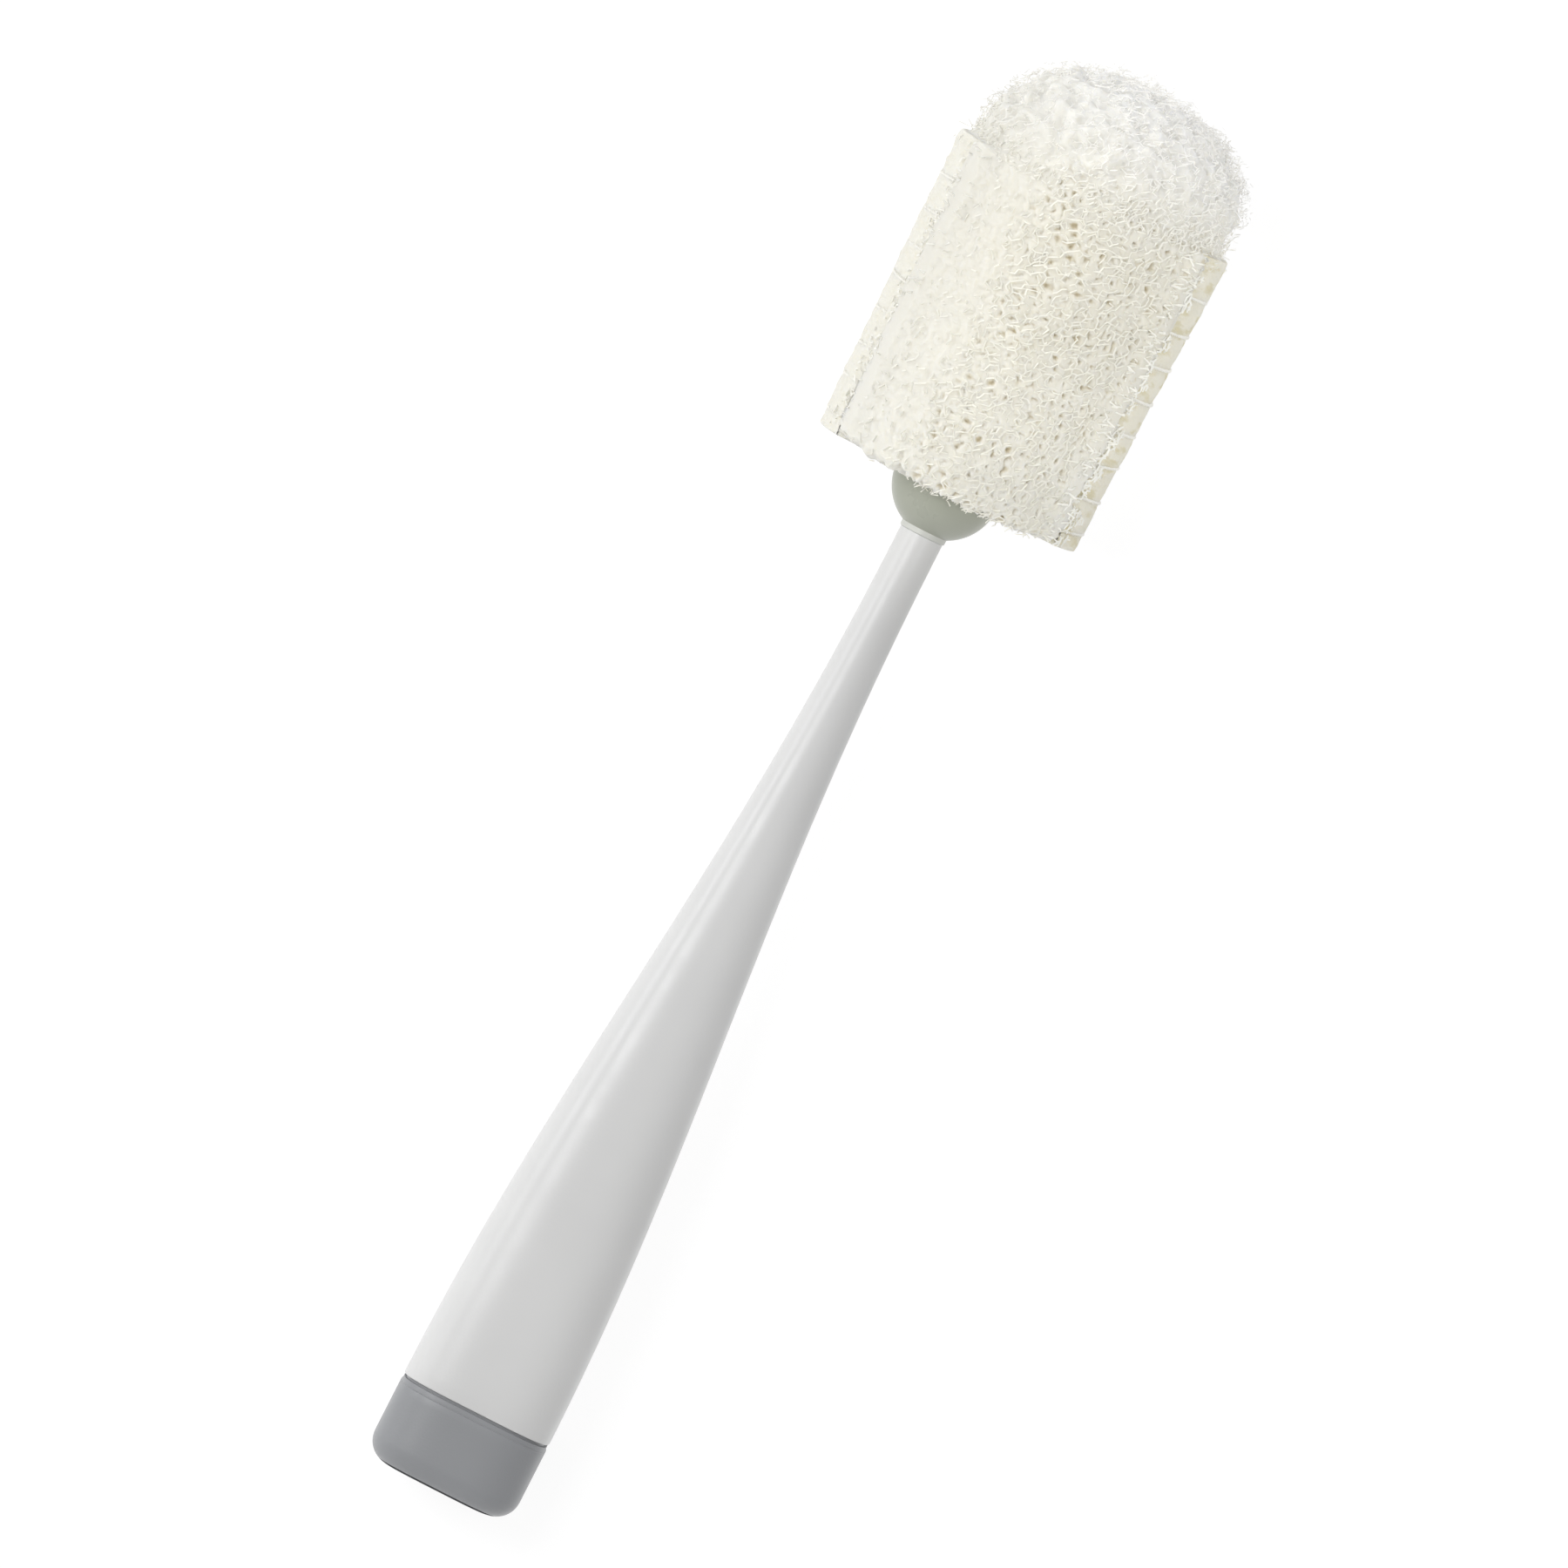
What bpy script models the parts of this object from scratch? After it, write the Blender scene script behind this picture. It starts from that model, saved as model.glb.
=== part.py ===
"""Bottle brush: a hollow tapered handle with a plug-in end cap, and a foam washing head that pulls
off the handle's neck. Sizes are in metres and +Z is up. The brush lies on the floor, resting on its
end cap and on the rim of its head, with the head towards +X.

Two frames carry the pieces. Both have their Z along the brush's axis, towards the head, and their X
towards the floor. The handle's frame starts at the flat end of the cap. The head's frame starts at
the open end of the neck, on the axis that the head slides along.
"""

import math

import bmesh
import bpy
from mathutils import Vector

MM = 0.001

# Clearances
FIT_GAP = 0.3 * MM
SEAM_GAP = 0.5 * MM

# Grip: the outline that the end cap and the handle's wide end share
GRIP_HALF_WIDTH = 16.65 * MM
GRIP_POWER = 4.0

# End cap
CAP_HEIGHT = 17.9 * MM
CAP_EDGE_RADIUS = 5.0 * MM
CAP_RIM_CHAMFER = 0.35 * MM
CAP_FLOOR = 2.4 * MM
SPIGOT_HEIGHT = 9.0 * MM
SPIGOT_WALL = 1.3 * MM
SPIGOT_CHAMFER = 0.6 * MM

# Seal in the spigot's groove
SEAL_WIDTH = 1.3 * MM
SEAL_HEIGHT = 1.8 * MM
SEAL_RISE = 4.6 * MM

# Handle
HANDLE_LENGTH = 201.2 * MM
HANDLE_WALL = 2.0 * MM
HANDLE_RIM_CHAMFER = 0.3 * MM
NECK_RADIUS = 4.75 * MM
NECK_POWER = 2.0
TAPER_POWER = 1.1
SQUARE_POWER = 0.6

# Socket in the neck, and the stem that plugs into it
SOCKET_RADIUS = 3.1 * MM
SOCKET_DEPTH = 46.0 * MM
SOCKET_LEAD_IN = 0.4 * MM
SOCKET_BLEND = 14.0 * MM
STEM_CLEARANCE = 0.5 * MM
STEM_LENGTH = 40.0 * MM
STEM_CHAMFER = 0.8 * MM
STEM_RING_SECTION = 0.45 * MM
STEM_RING_GROOVE = 0.9 * MM
STEM_RING_INSET = 9.0 * MM

# Holder under the foam
HOLDER_RADIUS = 11.36 * MM
HOLDER_WALL = 2.0 * MM
HOLDER_RIM_DROP = 0.6 * MM
HOLDER_FLOOR = 4.0 * MM
COLLAR_RADIUS = 5.05 * MM
COLLAR_HEIGHT = 0.9 * MM

# Spindle through the foam
FLANGE_RADIUS = 9.3 * MM
FLANGE_THICKNESS = 1.6 * MM
ROD_RADIUS = 3.2 * MM
BARB_RADIUS = 5.2 * MM
BARB_SLOPE = 2.0 * MM
BARB_EDGE = 0.6 * MM
BARB_COUNT = 5
TIP_RADIUS = 2.4 * MM
TIP_LENGTH = 4.0 * MM

# Foam core: a slab cut from a slightly flared round, with its two round sides bare
FOAM_BASE_RADIUS = 29.5 * MM
FOAM_SHOULDER_RADIUS = 30.8 * MM
FOAM_HEIGHT = 67.1 * MM
FOAM_THICKNESS = 31.4 * MM
WASHER_RECESS = 4.6 * MM

# Washer and push nut that hold the foam down
WASHER_RADIUS = 9.0 * MM
WASHER_THICKNESS = 1.2 * MM
NUT_RADIUS = 5.0 * MM
NUT_THICKNESS = 1.6 * MM

# Scrub wrap: coarse mesh over both flat sides of the slab and its top
WRAP_BASE_RADIUS = 29.6 * MM
WRAP_SHOULDER_RADIUS = 30.1 * MM
WRAP_SHOULDER_DROP = 6.0 * MM
DOME_RADIUS = 28.75 * MM
DOME_SPRING = 8.1 * MM
DOME_RISE = 18.7 * MM
PAD_BASE_HALF_WIDTH = 18.8 * MM
PAD_CORNER_HEIGHT = 8.2 * MM

# Lacing thread that ties the wrap's edges together across each bare side of the foam
THREAD_RADIUS = 0.25 * MM
THREAD_PITCH = 7.7 * MM
THREAD_CROSSINGS = 8
THREAD_FIRST = 3.6 * MM
THREAD_INSET = 0.6 * MM
THREAD_BEND = 0.8 * MM

# Faces round each form, the angle that stays a sharp edge, and the distance that welds corners
GRIP_SIDES = 36
HANDLE_RINGS = 20
SMALL_STEPS = 20
HOLDER_STEPS = 32
HEAD_STEPS = 44
ARC_STEPS = 5
RING_SIDES = 8
SHARP_ANGLE = math.radians(35)
WELD = 0.05 * MM

# Colour and roughness of each material
MATERIALS = {
    "handle_white": ((0.78, 0.78, 0.77), 0.35),
    "cap_grey": ((0.27, 0.275, 0.28), 0.55),
    "seal_rubber": ((0.05, 0.05, 0.055), 0.7),
    "holder_sage": ((0.34, 0.355, 0.29), 0.5),
    "spindle_white": ((0.72, 0.72, 0.69), 0.45),
    "ring_rubber": ((0.06, 0.06, 0.065), 0.7),
    "foam_cream": ((0.74, 0.70, 0.58), 0.95),
    "mesh_ivory": ((0.80, 0.78, 0.71), 0.9),
    "thread_white": ((0.85, 0.85, 0.82), 0.8),
    "washer_white": ((0.70, 0.70, 0.68), 0.45),
}

# Heights in the handle's frame
HANDLE_BOTTOM = CAP_HEIGHT + SEAM_GAP
NECK_END = HANDLE_BOTTOM + HANDLE_LENGTH

# Heights in the head's frame
COLLAR_TOP = FIT_GAP + COLLAR_HEIGHT
HOLDER_CENTRE = COLLAR_TOP + math.sqrt(HOLDER_RADIUS**2 - COLLAR_RADIUS**2)
HOLDER_MOUTH = HOLDER_CENTRE - HOLDER_RIM_DROP
FOAM_BOTTOM = HOLDER_MOUTH + FIT_GAP
SHOULDER = FOAM_BOTTOM + FOAM_HEIGHT
RECESS_FLOOR = SHOULDER - WASHER_RECESS
WASHER_BOTTOM = RECESS_FLOOR + FIT_GAP
NUT_BOTTOM = WASHER_BOTTOM + WASHER_THICKNESS + FIT_GAP
DOME_START = SHOULDER + DOME_SPRING

# Depths of the stem's rings below the neck's end, one near each end of the stem
STEM_RING_PLACES = (STEM_RING_INSET, STEM_LENGTH - STEM_RING_INSET)

# Radii that follow from their neighbours
STEM_RADIUS = SOCKET_RADIUS - STEM_CLEARANCE
FOAM_BORE = BARB_RADIUS + FIT_GAP
GRIP_BORE = GRIP_HALF_WIDTH - HANDLE_WALL
SEAL_HALF_WIDTH = GRIP_BORE - FIT_GAP
GROOVE_HALF_WIDTH = SEAL_HALF_WIDTH - SEAL_WIDTH - FIT_GAP
SPIGOT_HALF_WIDTH = SEAL_HALF_WIDTH - FIT_GAP


def lie_down_angle():
    """Rise of the axis that sets the cap's edge and the head's rim on the floor together."""
    along = NECK_END + FOAM_BOTTOM - CAP_EDGE_RADIUS
    across = WRAP_BASE_RADIUS - GRIP_HALF_WIDTH + CAP_EDGE_RADIUS
    return math.acos(CAP_EDGE_RADIUS / math.hypot(along, across)) - math.atan2(along, across)


RISE = lie_down_angle()
AXIS_HEIGHT = WRAP_BASE_RADIUS * math.cos(RISE) - (NECK_END + FOAM_BOTTOM) * math.sin(RISE)


def middle_of_length():
    """Distance along +X from the start of the axis to the middle of the lying brush."""
    back = (GRIP_HALF_WIDTH - CAP_EDGE_RADIUS) * math.sin(RISE)
    back += CAP_EDGE_RADIUS * (1 - math.cos(RISE))
    dome = math.hypot(DOME_RISE * math.cos(RISE), DOME_RADIUS * math.sin(RISE))
    front = (NECK_END + DOME_START) * math.cos(RISE) + dome
    return (front - back) / 2


def clear_scene():
    for obj in list(bpy.data.objects):
        bpy.data.objects.remove(obj, do_unlink=True)


def new_collection(name):
    collection = bpy.data.collections.new(name)
    bpy.context.scene.collection.children.link(collection)
    return collection


def make_material(name):
    colour, roughness = MATERIALS[name]
    material = bpy.data.materials.new(name)
    material.use_nodes = True
    shader = material.node_tree.nodes["Principled BSDF"]
    shader.inputs["Base Color"].default_value = (*colour, 1.0)
    shader.inputs["Roughness"].default_value = roughness
    shader.inputs["Metallic"].default_value = 0.0
    return material


def add_frame(collection, name, parent=None, location=(0.0, 0.0, 0.0), rotation=(0.0, 0.0, 0.0)):
    frame = bpy.data.objects.new(name, None)
    frame.empty_display_size = 0.03
    frame.parent = parent
    frame.location = location
    frame.rotation_euler = rotation
    collection.objects.link(frame)
    return frame


def add_piece(name, data, frame, material=None):
    """An object for one piece in its frame. Pieces go to the brush's collection."""
    piece = bpy.data.objects.new(name, data)
    piece.parent = frame
    if material:
        data.materials.append(make_material(material))
        brush.objects.link(piece)
    else:
        piece.hide_render = True
        piece.display_type = "WIRE"
        cutters.objects.link(piece)
    return piece


def squircle(half_width, power, height):
    """Corners of a rounded square. Power 2 is a circle, and 4 has flat sides and soft corners."""
    corners = []
    for side in range(GRIP_SIDES):
        turn = 2 * math.pi * side / GRIP_SIDES
        x, y = math.cos(turn), math.sin(turn)
        reach = half_width / (abs(x) ** power + abs(y) ** power) ** (1 / power)
        corners.append(Vector((reach * x, reach * y, height)))
    return corners


def loft(name, frame, material, sections, ring_of_rings):
    """Skin over a row of sections. A ring of rings joins its last section to its first, and a row
    that isn't one gets a flat face at each end."""
    mesh = bpy.data.meshes.new(name)
    bm = bmesh.new()
    rings = [[bm.verts.new(corner) for corner in section] for section in sections]
    pairs = list(zip(rings, rings[1:]))
    if ring_of_rings:
        pairs.append((rings[-1], rings[0]))
    else:
        bm.faces.new(rings[0])
        bm.faces.new(reversed(rings[-1]))
    for lower, upper in pairs:
        for i in range(GRIP_SIDES):
            j = (i + 1) % GRIP_SIDES
            bm.faces.new((lower[i], lower[j], upper[j], upper[i]))
    bmesh.ops.recalc_face_normals(bm, faces=bm.faces)
    bm.to_mesh(mesh)
    bm.free()
    smooth(mesh)
    return add_piece(name, mesh, frame, material)


def smooth(mesh):
    mesh.shade_smooth()
    mesh.set_sharp_from_angle(angle=SHARP_ANGLE)


def settle(piece):
    """Makes the modifiers' result the piece's own mesh, smooth but for its sharp edges."""
    graph = bpy.context.evaluated_depsgraph_get()
    mesh = bpy.data.meshes.new_from_object(piece.evaluated_get(graph))
    piece.modifiers.clear()
    piece.data = mesh
    smooth(mesh)


def turn_profile(name, frame, profile, closed, steps, material=None):
    """A turned piece from (radius, height) points that run down its outer side."""
    mesh = bpy.data.meshes.new(name)
    bm = bmesh.new()
    points = [bm.verts.new((radius, 0.0, height)) for radius, height in profile]
    for upper, lower in zip(points, points[1:]):
        bm.edges.new((upper, lower))
    if closed:
        bm.edges.new((points[-1], points[0]))
    bm.to_mesh(mesh)
    bm.free()
    piece = add_piece(name, mesh, frame, material)
    screw = piece.modifiers.new("turn", "SCREW")
    screw.axis = "Z"
    screw.steps = steps
    screw.render_steps = steps
    screw.use_merge_vertices = True
    screw.merge_threshold = WELD
    settle(piece)
    return piece


def cut(piece, cutter, operation="DIFFERENCE"):
    boolean = piece.modifiers.new(cutter.name, "BOOLEAN")
    boolean.object = cutter
    boolean.operation = operation
    boolean.solver = "EXACT"


def box_cutter(name, frame, size, centre):
    mesh = bpy.data.meshes.new(name)
    bm = bmesh.new()
    bmesh.ops.create_cube(bm, size=1.0)
    bmesh.ops.scale(bm, vec=size, verts=bm.verts)
    bmesh.ops.translate(bm, vec=centre, verts=bm.verts)
    bm.to_mesh(mesh)
    bm.free()
    return add_piece(name, mesh, frame)


def swell(height):
    """0 at the neck's end and 1 at the handle's wide end, with a soft start and finish."""
    share = min(max((NECK_END - height) / HANDLE_LENGTH, 0.0), 1.0)
    return 0.5 - 0.5 * math.cos(math.pi * share**TAPER_POWER)


def handle_half_width(height):
    return NECK_RADIUS + (GRIP_HALF_WIDTH - NECK_RADIUS) * swell(height)


def handle_power(height):
    """The handle's section turns from a rounded square at the grip to a circle at the neck."""
    return NECK_POWER + (GRIP_POWER - NECK_POWER) * swell(height) ** SQUARE_POWER


def handle_shell(frame):
    """Hollow tapered handle, open at the wide end for the cap and at the neck for the stem."""
    outside = [squircle(GRIP_HALF_WIDTH - HANDLE_RIM_CHAMFER, GRIP_POWER, HANDLE_BOTTOM)]
    for ring in range(HANDLE_RINGS + 1):
        height = HANDLE_BOTTOM + HANDLE_LENGTH * ring / HANDLE_RINGS
        height = max(height, HANDLE_BOTTOM + HANDLE_RIM_CHAMFER)
        height = min(height, NECK_END - HANDLE_RIM_CHAMFER)
        outside.append(squircle(handle_half_width(height), handle_power(height), height))
    outside.append(squircle(NECK_RADIUS - HANDLE_RIM_CHAMFER, NECK_POWER, NECK_END))

    socket_bottom = NECK_END - SOCKET_DEPTH
    inside = [
        squircle(SOCKET_RADIUS + SOCKET_LEAD_IN, NECK_POWER, NECK_END),
        squircle(SOCKET_RADIUS, NECK_POWER, NECK_END - SOCKET_LEAD_IN),
        squircle(SOCKET_RADIUS, NECK_POWER, socket_bottom),
    ]
    hollow_top = socket_bottom - SOCKET_BLEND
    hollow_rings = HANDLE_RINGS // 2
    for ring in range(hollow_rings + 1):
        height = hollow_top + (HANDLE_BOTTOM - hollow_top) * ring / hollow_rings
        half_width = handle_half_width(height) - HANDLE_WALL
        inside.append(squircle(half_width, handle_power(height), height))
    loft("handle_shell", frame, "handle_white", outside + inside, ring_of_rings=True)


def end_cap(frame):
    """Cup that closes the handle. Its spigot plugs into the handle and carries the seal."""
    sections = []
    for step in range(ARC_STEPS + 1):
        turn = math.pi / 2 * step / ARC_STEPS
        half_width = GRIP_HALF_WIDTH - CAP_EDGE_RADIUS * (1 - math.sin(turn))
        sections.append((half_width, CAP_EDGE_RADIUS * (1 - math.cos(turn))))
    groove_bottom = CAP_HEIGHT + SEAL_RISE - FIT_GAP
    groove_top = groove_bottom + SEAL_HEIGHT + 2 * FIT_GAP
    spigot_top = CAP_HEIGHT + SPIGOT_HEIGHT
    bore = GROOVE_HALF_WIDTH - SPIGOT_WALL
    sections += [
        (GRIP_HALF_WIDTH, CAP_HEIGHT - CAP_RIM_CHAMFER),
        (GRIP_HALF_WIDTH - CAP_RIM_CHAMFER, CAP_HEIGHT),
        (SPIGOT_HALF_WIDTH, CAP_HEIGHT),
        (SPIGOT_HALF_WIDTH, groove_bottom),
        (GROOVE_HALF_WIDTH, groove_bottom),
        (GROOVE_HALF_WIDTH, groove_top),
        (SPIGOT_HALF_WIDTH, groove_top),
        (SPIGOT_HALF_WIDTH, spigot_top - SPIGOT_CHAMFER),
        (SPIGOT_HALF_WIDTH - SPIGOT_CHAMFER, spigot_top),
        (bore, spigot_top),
        (bore, CAP_FLOOR),
    ]
    sections = [squircle(half, GRIP_POWER, height) for half, height in sections]
    loft("end_cap", frame, "cap_grey", sections, ring_of_rings=False)


def end_cap_seal(frame):
    bottom = CAP_HEIGHT + SEAL_RISE
    top = bottom + SEAL_HEIGHT
    inner = SEAL_HALF_WIDTH - SEAL_WIDTH
    corners = (
        (SEAL_HALF_WIDTH, bottom),
        (SEAL_HALF_WIDTH, top),
        (inner, top),
        (inner, bottom),
    )
    sections = [squircle(half, GRIP_POWER, height) for half, height in corners]
    loft("end_cap_seal", frame, "seal_rubber", sections, ring_of_rings=True)


def sphere_arc(radius, first_height, last_height, steps):
    """(radius, height) points along a ball's outline, even in angle."""
    first = math.acos((HOLDER_CENTRE - first_height) / radius)
    last = math.acos((HOLDER_CENTRE - last_height) / radius)
    turns = [first + (last - first) * step / steps for step in range(steps + 1)]
    return [(radius * math.sin(turn), HOLDER_CENTRE - radius * math.cos(turn)) for turn in turns]


def head_holder(frame):
    """Half-round cup under the foam, with a collar that meets the neck."""
    rebate_floor = HOLDER_MOUTH - FLANGE_THICKNESS - FIT_GAP
    rebate = FLANGE_RADIUS + FIT_GAP
    hollow = HOLDER_RADIUS - HOLDER_WALL
    bore = STEM_RADIUS + FIT_GAP
    profile = sphere_arc(HOLDER_RADIUS, HOLDER_MOUTH, COLLAR_TOP, 2 * ARC_STEPS)
    profile += [(COLLAR_RADIUS, FIT_GAP), (bore, FIT_GAP), (bore, HOLDER_FLOOR)]
    profile += sphere_arc(hollow, HOLDER_FLOOR, rebate_floor, ARC_STEPS)
    profile += [(rebate, rebate_floor), (rebate, HOLDER_MOUTH)]
    turn_profile("head_holder", frame, profile, True, HOLDER_STEPS, "holder_sage")


def barb_outline():
    """The rod between the flange and its tip, with barbs that keep the foam from riding up."""
    room = RECESS_FLOOR - HOLDER_MOUTH
    outline = []
    for barb in range(BARB_COUNT, 0, -1):
        top = HOLDER_MOUTH + room * barb / (BARB_COUNT + 1)
        edge = top - BARB_SLOPE
        outline += [
            (ROD_RADIUS, top),
            (BARB_RADIUS, edge),
            (BARB_RADIUS, edge - BARB_EDGE),
            (ROD_RADIUS, edge - BARB_EDGE),
        ]
    return outline


def ring_grooves():
    """Grooves round the stem, top to bottom, one for each rubber ring."""
    floor = STEM_RADIUS - STEM_RING_GROOVE
    half = STEM_RING_SECTION + FIT_GAP
    outline = []
    for place in STEM_RING_PLACES:
        outline += [
            (STEM_RADIUS, half - place),
            (floor, half - place),
            (floor, -half - place),
            (STEM_RADIUS, -half - place),
        ]
    return outline


def core_spindle(frame):
    """Rod through the foam, with the flange that carries it and the stem that plugs into the neck."""
    tip = RECESS_FLOOR + TIP_LENGTH
    flange_bottom = HOLDER_MOUTH - FLANGE_THICKNESS
    profile = [(0.0, tip), (TIP_RADIUS, tip), (TIP_RADIUS, RECESS_FLOOR), (ROD_RADIUS, RECESS_FLOOR)]
    profile += barb_outline()
    profile += [
        (ROD_RADIUS, HOLDER_MOUTH),
        (FLANGE_RADIUS, HOLDER_MOUTH),
        (FLANGE_RADIUS, flange_bottom),
        (STEM_RADIUS, flange_bottom),
    ]
    profile += ring_grooves()
    profile += [
        (STEM_RADIUS, STEM_CHAMFER - STEM_LENGTH),
        (STEM_RADIUS - STEM_CHAMFER, -STEM_LENGTH),
        (0.0, -STEM_LENGTH),
    ]
    turn_profile("core_spindle", frame, profile, False, SMALL_STEPS, "spindle_white")


def stem_ring(name, frame, place):
    """Rubber ring that grips the socket, midway between the groove's floor and the socket's wall."""
    middle = (STEM_RADIUS - STEM_RING_GROOVE + SOCKET_RADIUS) / 2
    bpy.ops.mesh.primitive_torus_add(
        major_radius=middle,
        minor_radius=STEM_RING_SECTION,
        major_segments=SMALL_STEPS,
        minor_segments=RING_SIDES,
    )
    torus = bpy.context.object
    mesh = torus.data
    bpy.data.objects.remove(torus, do_unlink=True)
    mesh.name = name
    mesh.shade_smooth()
    piece = add_piece(name, mesh, frame, "ring_rubber")
    piece.location.z = -place


def foam_core(frame):
    """Slab of soft foam with round sides, bored for the spindle and recessed for the washer."""
    recess = WASHER_RADIUS + FIT_GAP
    profile = [
        (FOAM_SHOULDER_RADIUS, SHOULDER),
        (FOAM_BASE_RADIUS, FOAM_BOTTOM),
        (FOAM_BORE, FOAM_BOTTOM),
        (FOAM_BORE, RECESS_FLOOR),
        (recess, RECESS_FLOOR),
        (recess, SHOULDER),
    ]
    core = turn_profile("foam_core", frame, profile, True, HEAD_STEPS, "foam_cream")
    size = (FOAM_THICKNESS, 4 * FOAM_SHOULDER_RADIUS, 2 * FOAM_HEIGHT)
    centre = (0.0, 0.0, FOAM_BOTTOM + FOAM_HEIGHT / 2)
    cut(core, box_cutter("foam_slab_cutter", frame, size, centre), "INTERSECT")


def plate(name, frame, material, radius, thickness, bottom):
    """Washer on the spindle's tip."""
    bore = TIP_RADIUS + FIT_GAP
    top = bottom + thickness
    profile = [(radius, top), (radius, bottom), (bore, bottom), (bore, top)]
    turn_profile(name, frame, profile, True, SMALL_STEPS, material)


def wrap_outline():
    """Outside of the scrub wrap, from the top of its dome down to its lower edge."""
    outline = []
    for step in range(2 * ARC_STEPS + 1):
        turn = math.pi / 2 * step / (2 * ARC_STEPS)
        outline.append((DOME_RADIUS * math.sin(turn), DOME_START + DOME_RISE * math.cos(turn)))
    outline += [
        (WRAP_SHOULDER_RADIUS, SHOULDER - WRAP_SHOULDER_DROP),
        (WRAP_BASE_RADIUS, FOAM_BOTTOM),
        (0.0, FOAM_BOTTOM),
    ]
    return outline


def pad_corner_cutter(frame):
    """Prism that rounds off one lower corner of both pads, and its mirror image."""
    reach = 1.5 * WRAP_BASE_RADIUS
    edge = math.sqrt(WRAP_BASE_RADIUS**2 - (FOAM_THICKNESS / 2 + FIT_GAP) ** 2)
    below = FOAM_BOTTOM - PAD_CORNER_HEIGHT
    outline = [(reach, below), (PAD_BASE_HALF_WIDTH, below)]
    for step in range(ARC_STEPS + 1):
        turn = math.pi / 2 * step / ARC_STEPS
        y = PAD_BASE_HALF_WIDTH + (edge - PAD_BASE_HALF_WIDTH) * math.sin(turn)
        outline.append((y, FOAM_BOTTOM + PAD_CORNER_HEIGHT * (1 - math.cos(turn))))
    outline.append((reach, FOAM_BOTTOM + PAD_CORNER_HEIGHT))
    mesh = bpy.data.meshes.new("pad_corner_cutter")
    bm = bmesh.new()
    face = bm.faces.new([bm.verts.new((-reach, y, z)) for y, z in outline])
    sweep = bmesh.ops.extrude_face_region(bm, geom=[face])
    moved = [item for item in sweep["geom"] if isinstance(item, bmesh.types.BMVert)]
    bmesh.ops.translate(bm, vec=(2 * reach, 0.0, 0.0), verts=moved)
    bmesh.ops.recalc_face_normals(bm, faces=bm.faces)
    bm.to_mesh(mesh)
    bm.free()
    cutter = add_piece("pad_corner_cutter", mesh, frame)
    mirror = cutter.modifiers.new("other_side", "MIRROR")
    mirror.use_axis = (False, True, False)
    mirror.merge_threshold = WELD
    return cutter


def scrub_wrap(frame):
    """Coarse mesh folded over the slab: a pad on each flat side, joined by the dome on top."""
    wrap = turn_profile("scrub_wrap", frame, wrap_outline(), False, HEAD_STEPS, "mesh_ivory")
    slab_space = FOAM_THICKNESS + 2 * FIT_GAP
    space_height = FOAM_HEIGHT + FIT_GAP
    size = (slab_space, 4 * WRAP_SHOULDER_RADIUS, 2 * space_height)
    centre = (0.0, 0.0, SHOULDER + FIT_GAP - space_height)
    cut(wrap, box_cutter("slab_space_cutter", frame, size, centre))
    cut(wrap, pad_corner_cutter(frame))


def foam_radius(height):
    share = (height - FOAM_BOTTOM) / FOAM_HEIGHT
    return FOAM_BASE_RADIUS + (FOAM_SHOULDER_RADIUS - FOAM_BASE_RADIUS) * share


def lacing_point(across, height, side):
    """A point of the thread: how far across the bare side it lies, and its height."""
    radius = foam_radius(height) + FIT_GAP + THREAD_RADIUS
    return Vector((across, side * math.sqrt(radius**2 - across**2), height))


def lacing_points(side):
    """Route of one thread: to and fro across the bare side, and up its edge between crossings."""
    edge = FOAM_THICKNESS / 2 - THREAD_INSET
    run = edge - THREAD_BEND
    points = []
    for crossing in range(THREAD_CROSSINGS):
        way = 1 if crossing % 2 == 0 else -1
        height = FOAM_BOTTOM + THREAD_FIRST + THREAD_PITCH * crossing
        if crossing > 0:
            points += bend(-way * run, -way, height - THREAD_BEND, True, side)
        points += [
            lacing_point(way * run * (share / ARC_STEPS - 1), height, side)
            for share in range(2 * ARC_STEPS + 1)
        ]
        if crossing < THREAD_CROSSINGS - 1:
            points += bend(way * run, way, height + THREAD_BEND, False, side)
    return points


def bend(start, way, middle, into_crossing, side):
    """Two points that round the corner between a run up the edge and a crossing."""
    turns = (math.radians(90), math.radians(45))
    drop = 1 if into_crossing else -1
    if not into_crossing:
        turns = tuple(reversed(turns))
    return [
        lacing_point(
            start + way * THREAD_BEND * math.sin(turn),
            middle + drop * THREAD_BEND * math.cos(turn),
            side,
        )
        for turn in turns
    ]


def lacing_thread(name, frame, side):
    curve = bpy.data.curves.new(name, "CURVE")
    curve.dimensions = "3D"
    curve.bevel_depth = THREAD_RADIUS
    curve.bevel_resolution = 1
    curve.use_fill_caps = True
    points = lacing_points(side)
    spline = curve.splines.new("POLY")
    spline.points.add(len(points) - 1)
    for control, point in zip(spline.points, points):
        control.co = (*point, 1.0)
    add_piece(name, curve, frame, "thread_white")


def build_handle(frame):
    end_cap(frame)
    end_cap_seal(frame)
    handle_shell(frame)


def build_head(frame):
    head_holder(frame)
    core_spindle(frame)
    stem_ring("stem_ring_upper", frame, STEM_RING_PLACES[0])
    stem_ring("stem_ring_lower", frame, STEM_RING_PLACES[1])
    foam_core(frame)
    plate("top_washer", frame, "washer_white", WASHER_RADIUS, WASHER_THICKNESS, WASHER_BOTTOM)
    plate("push_nut", frame, "washer_white", NUT_RADIUS, NUT_THICKNESS, NUT_BOTTOM)
    scrub_wrap(frame)
    lacing_thread("lacing_thread_left", frame, 1)
    lacing_thread("lacing_thread_right", frame, -1)


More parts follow.
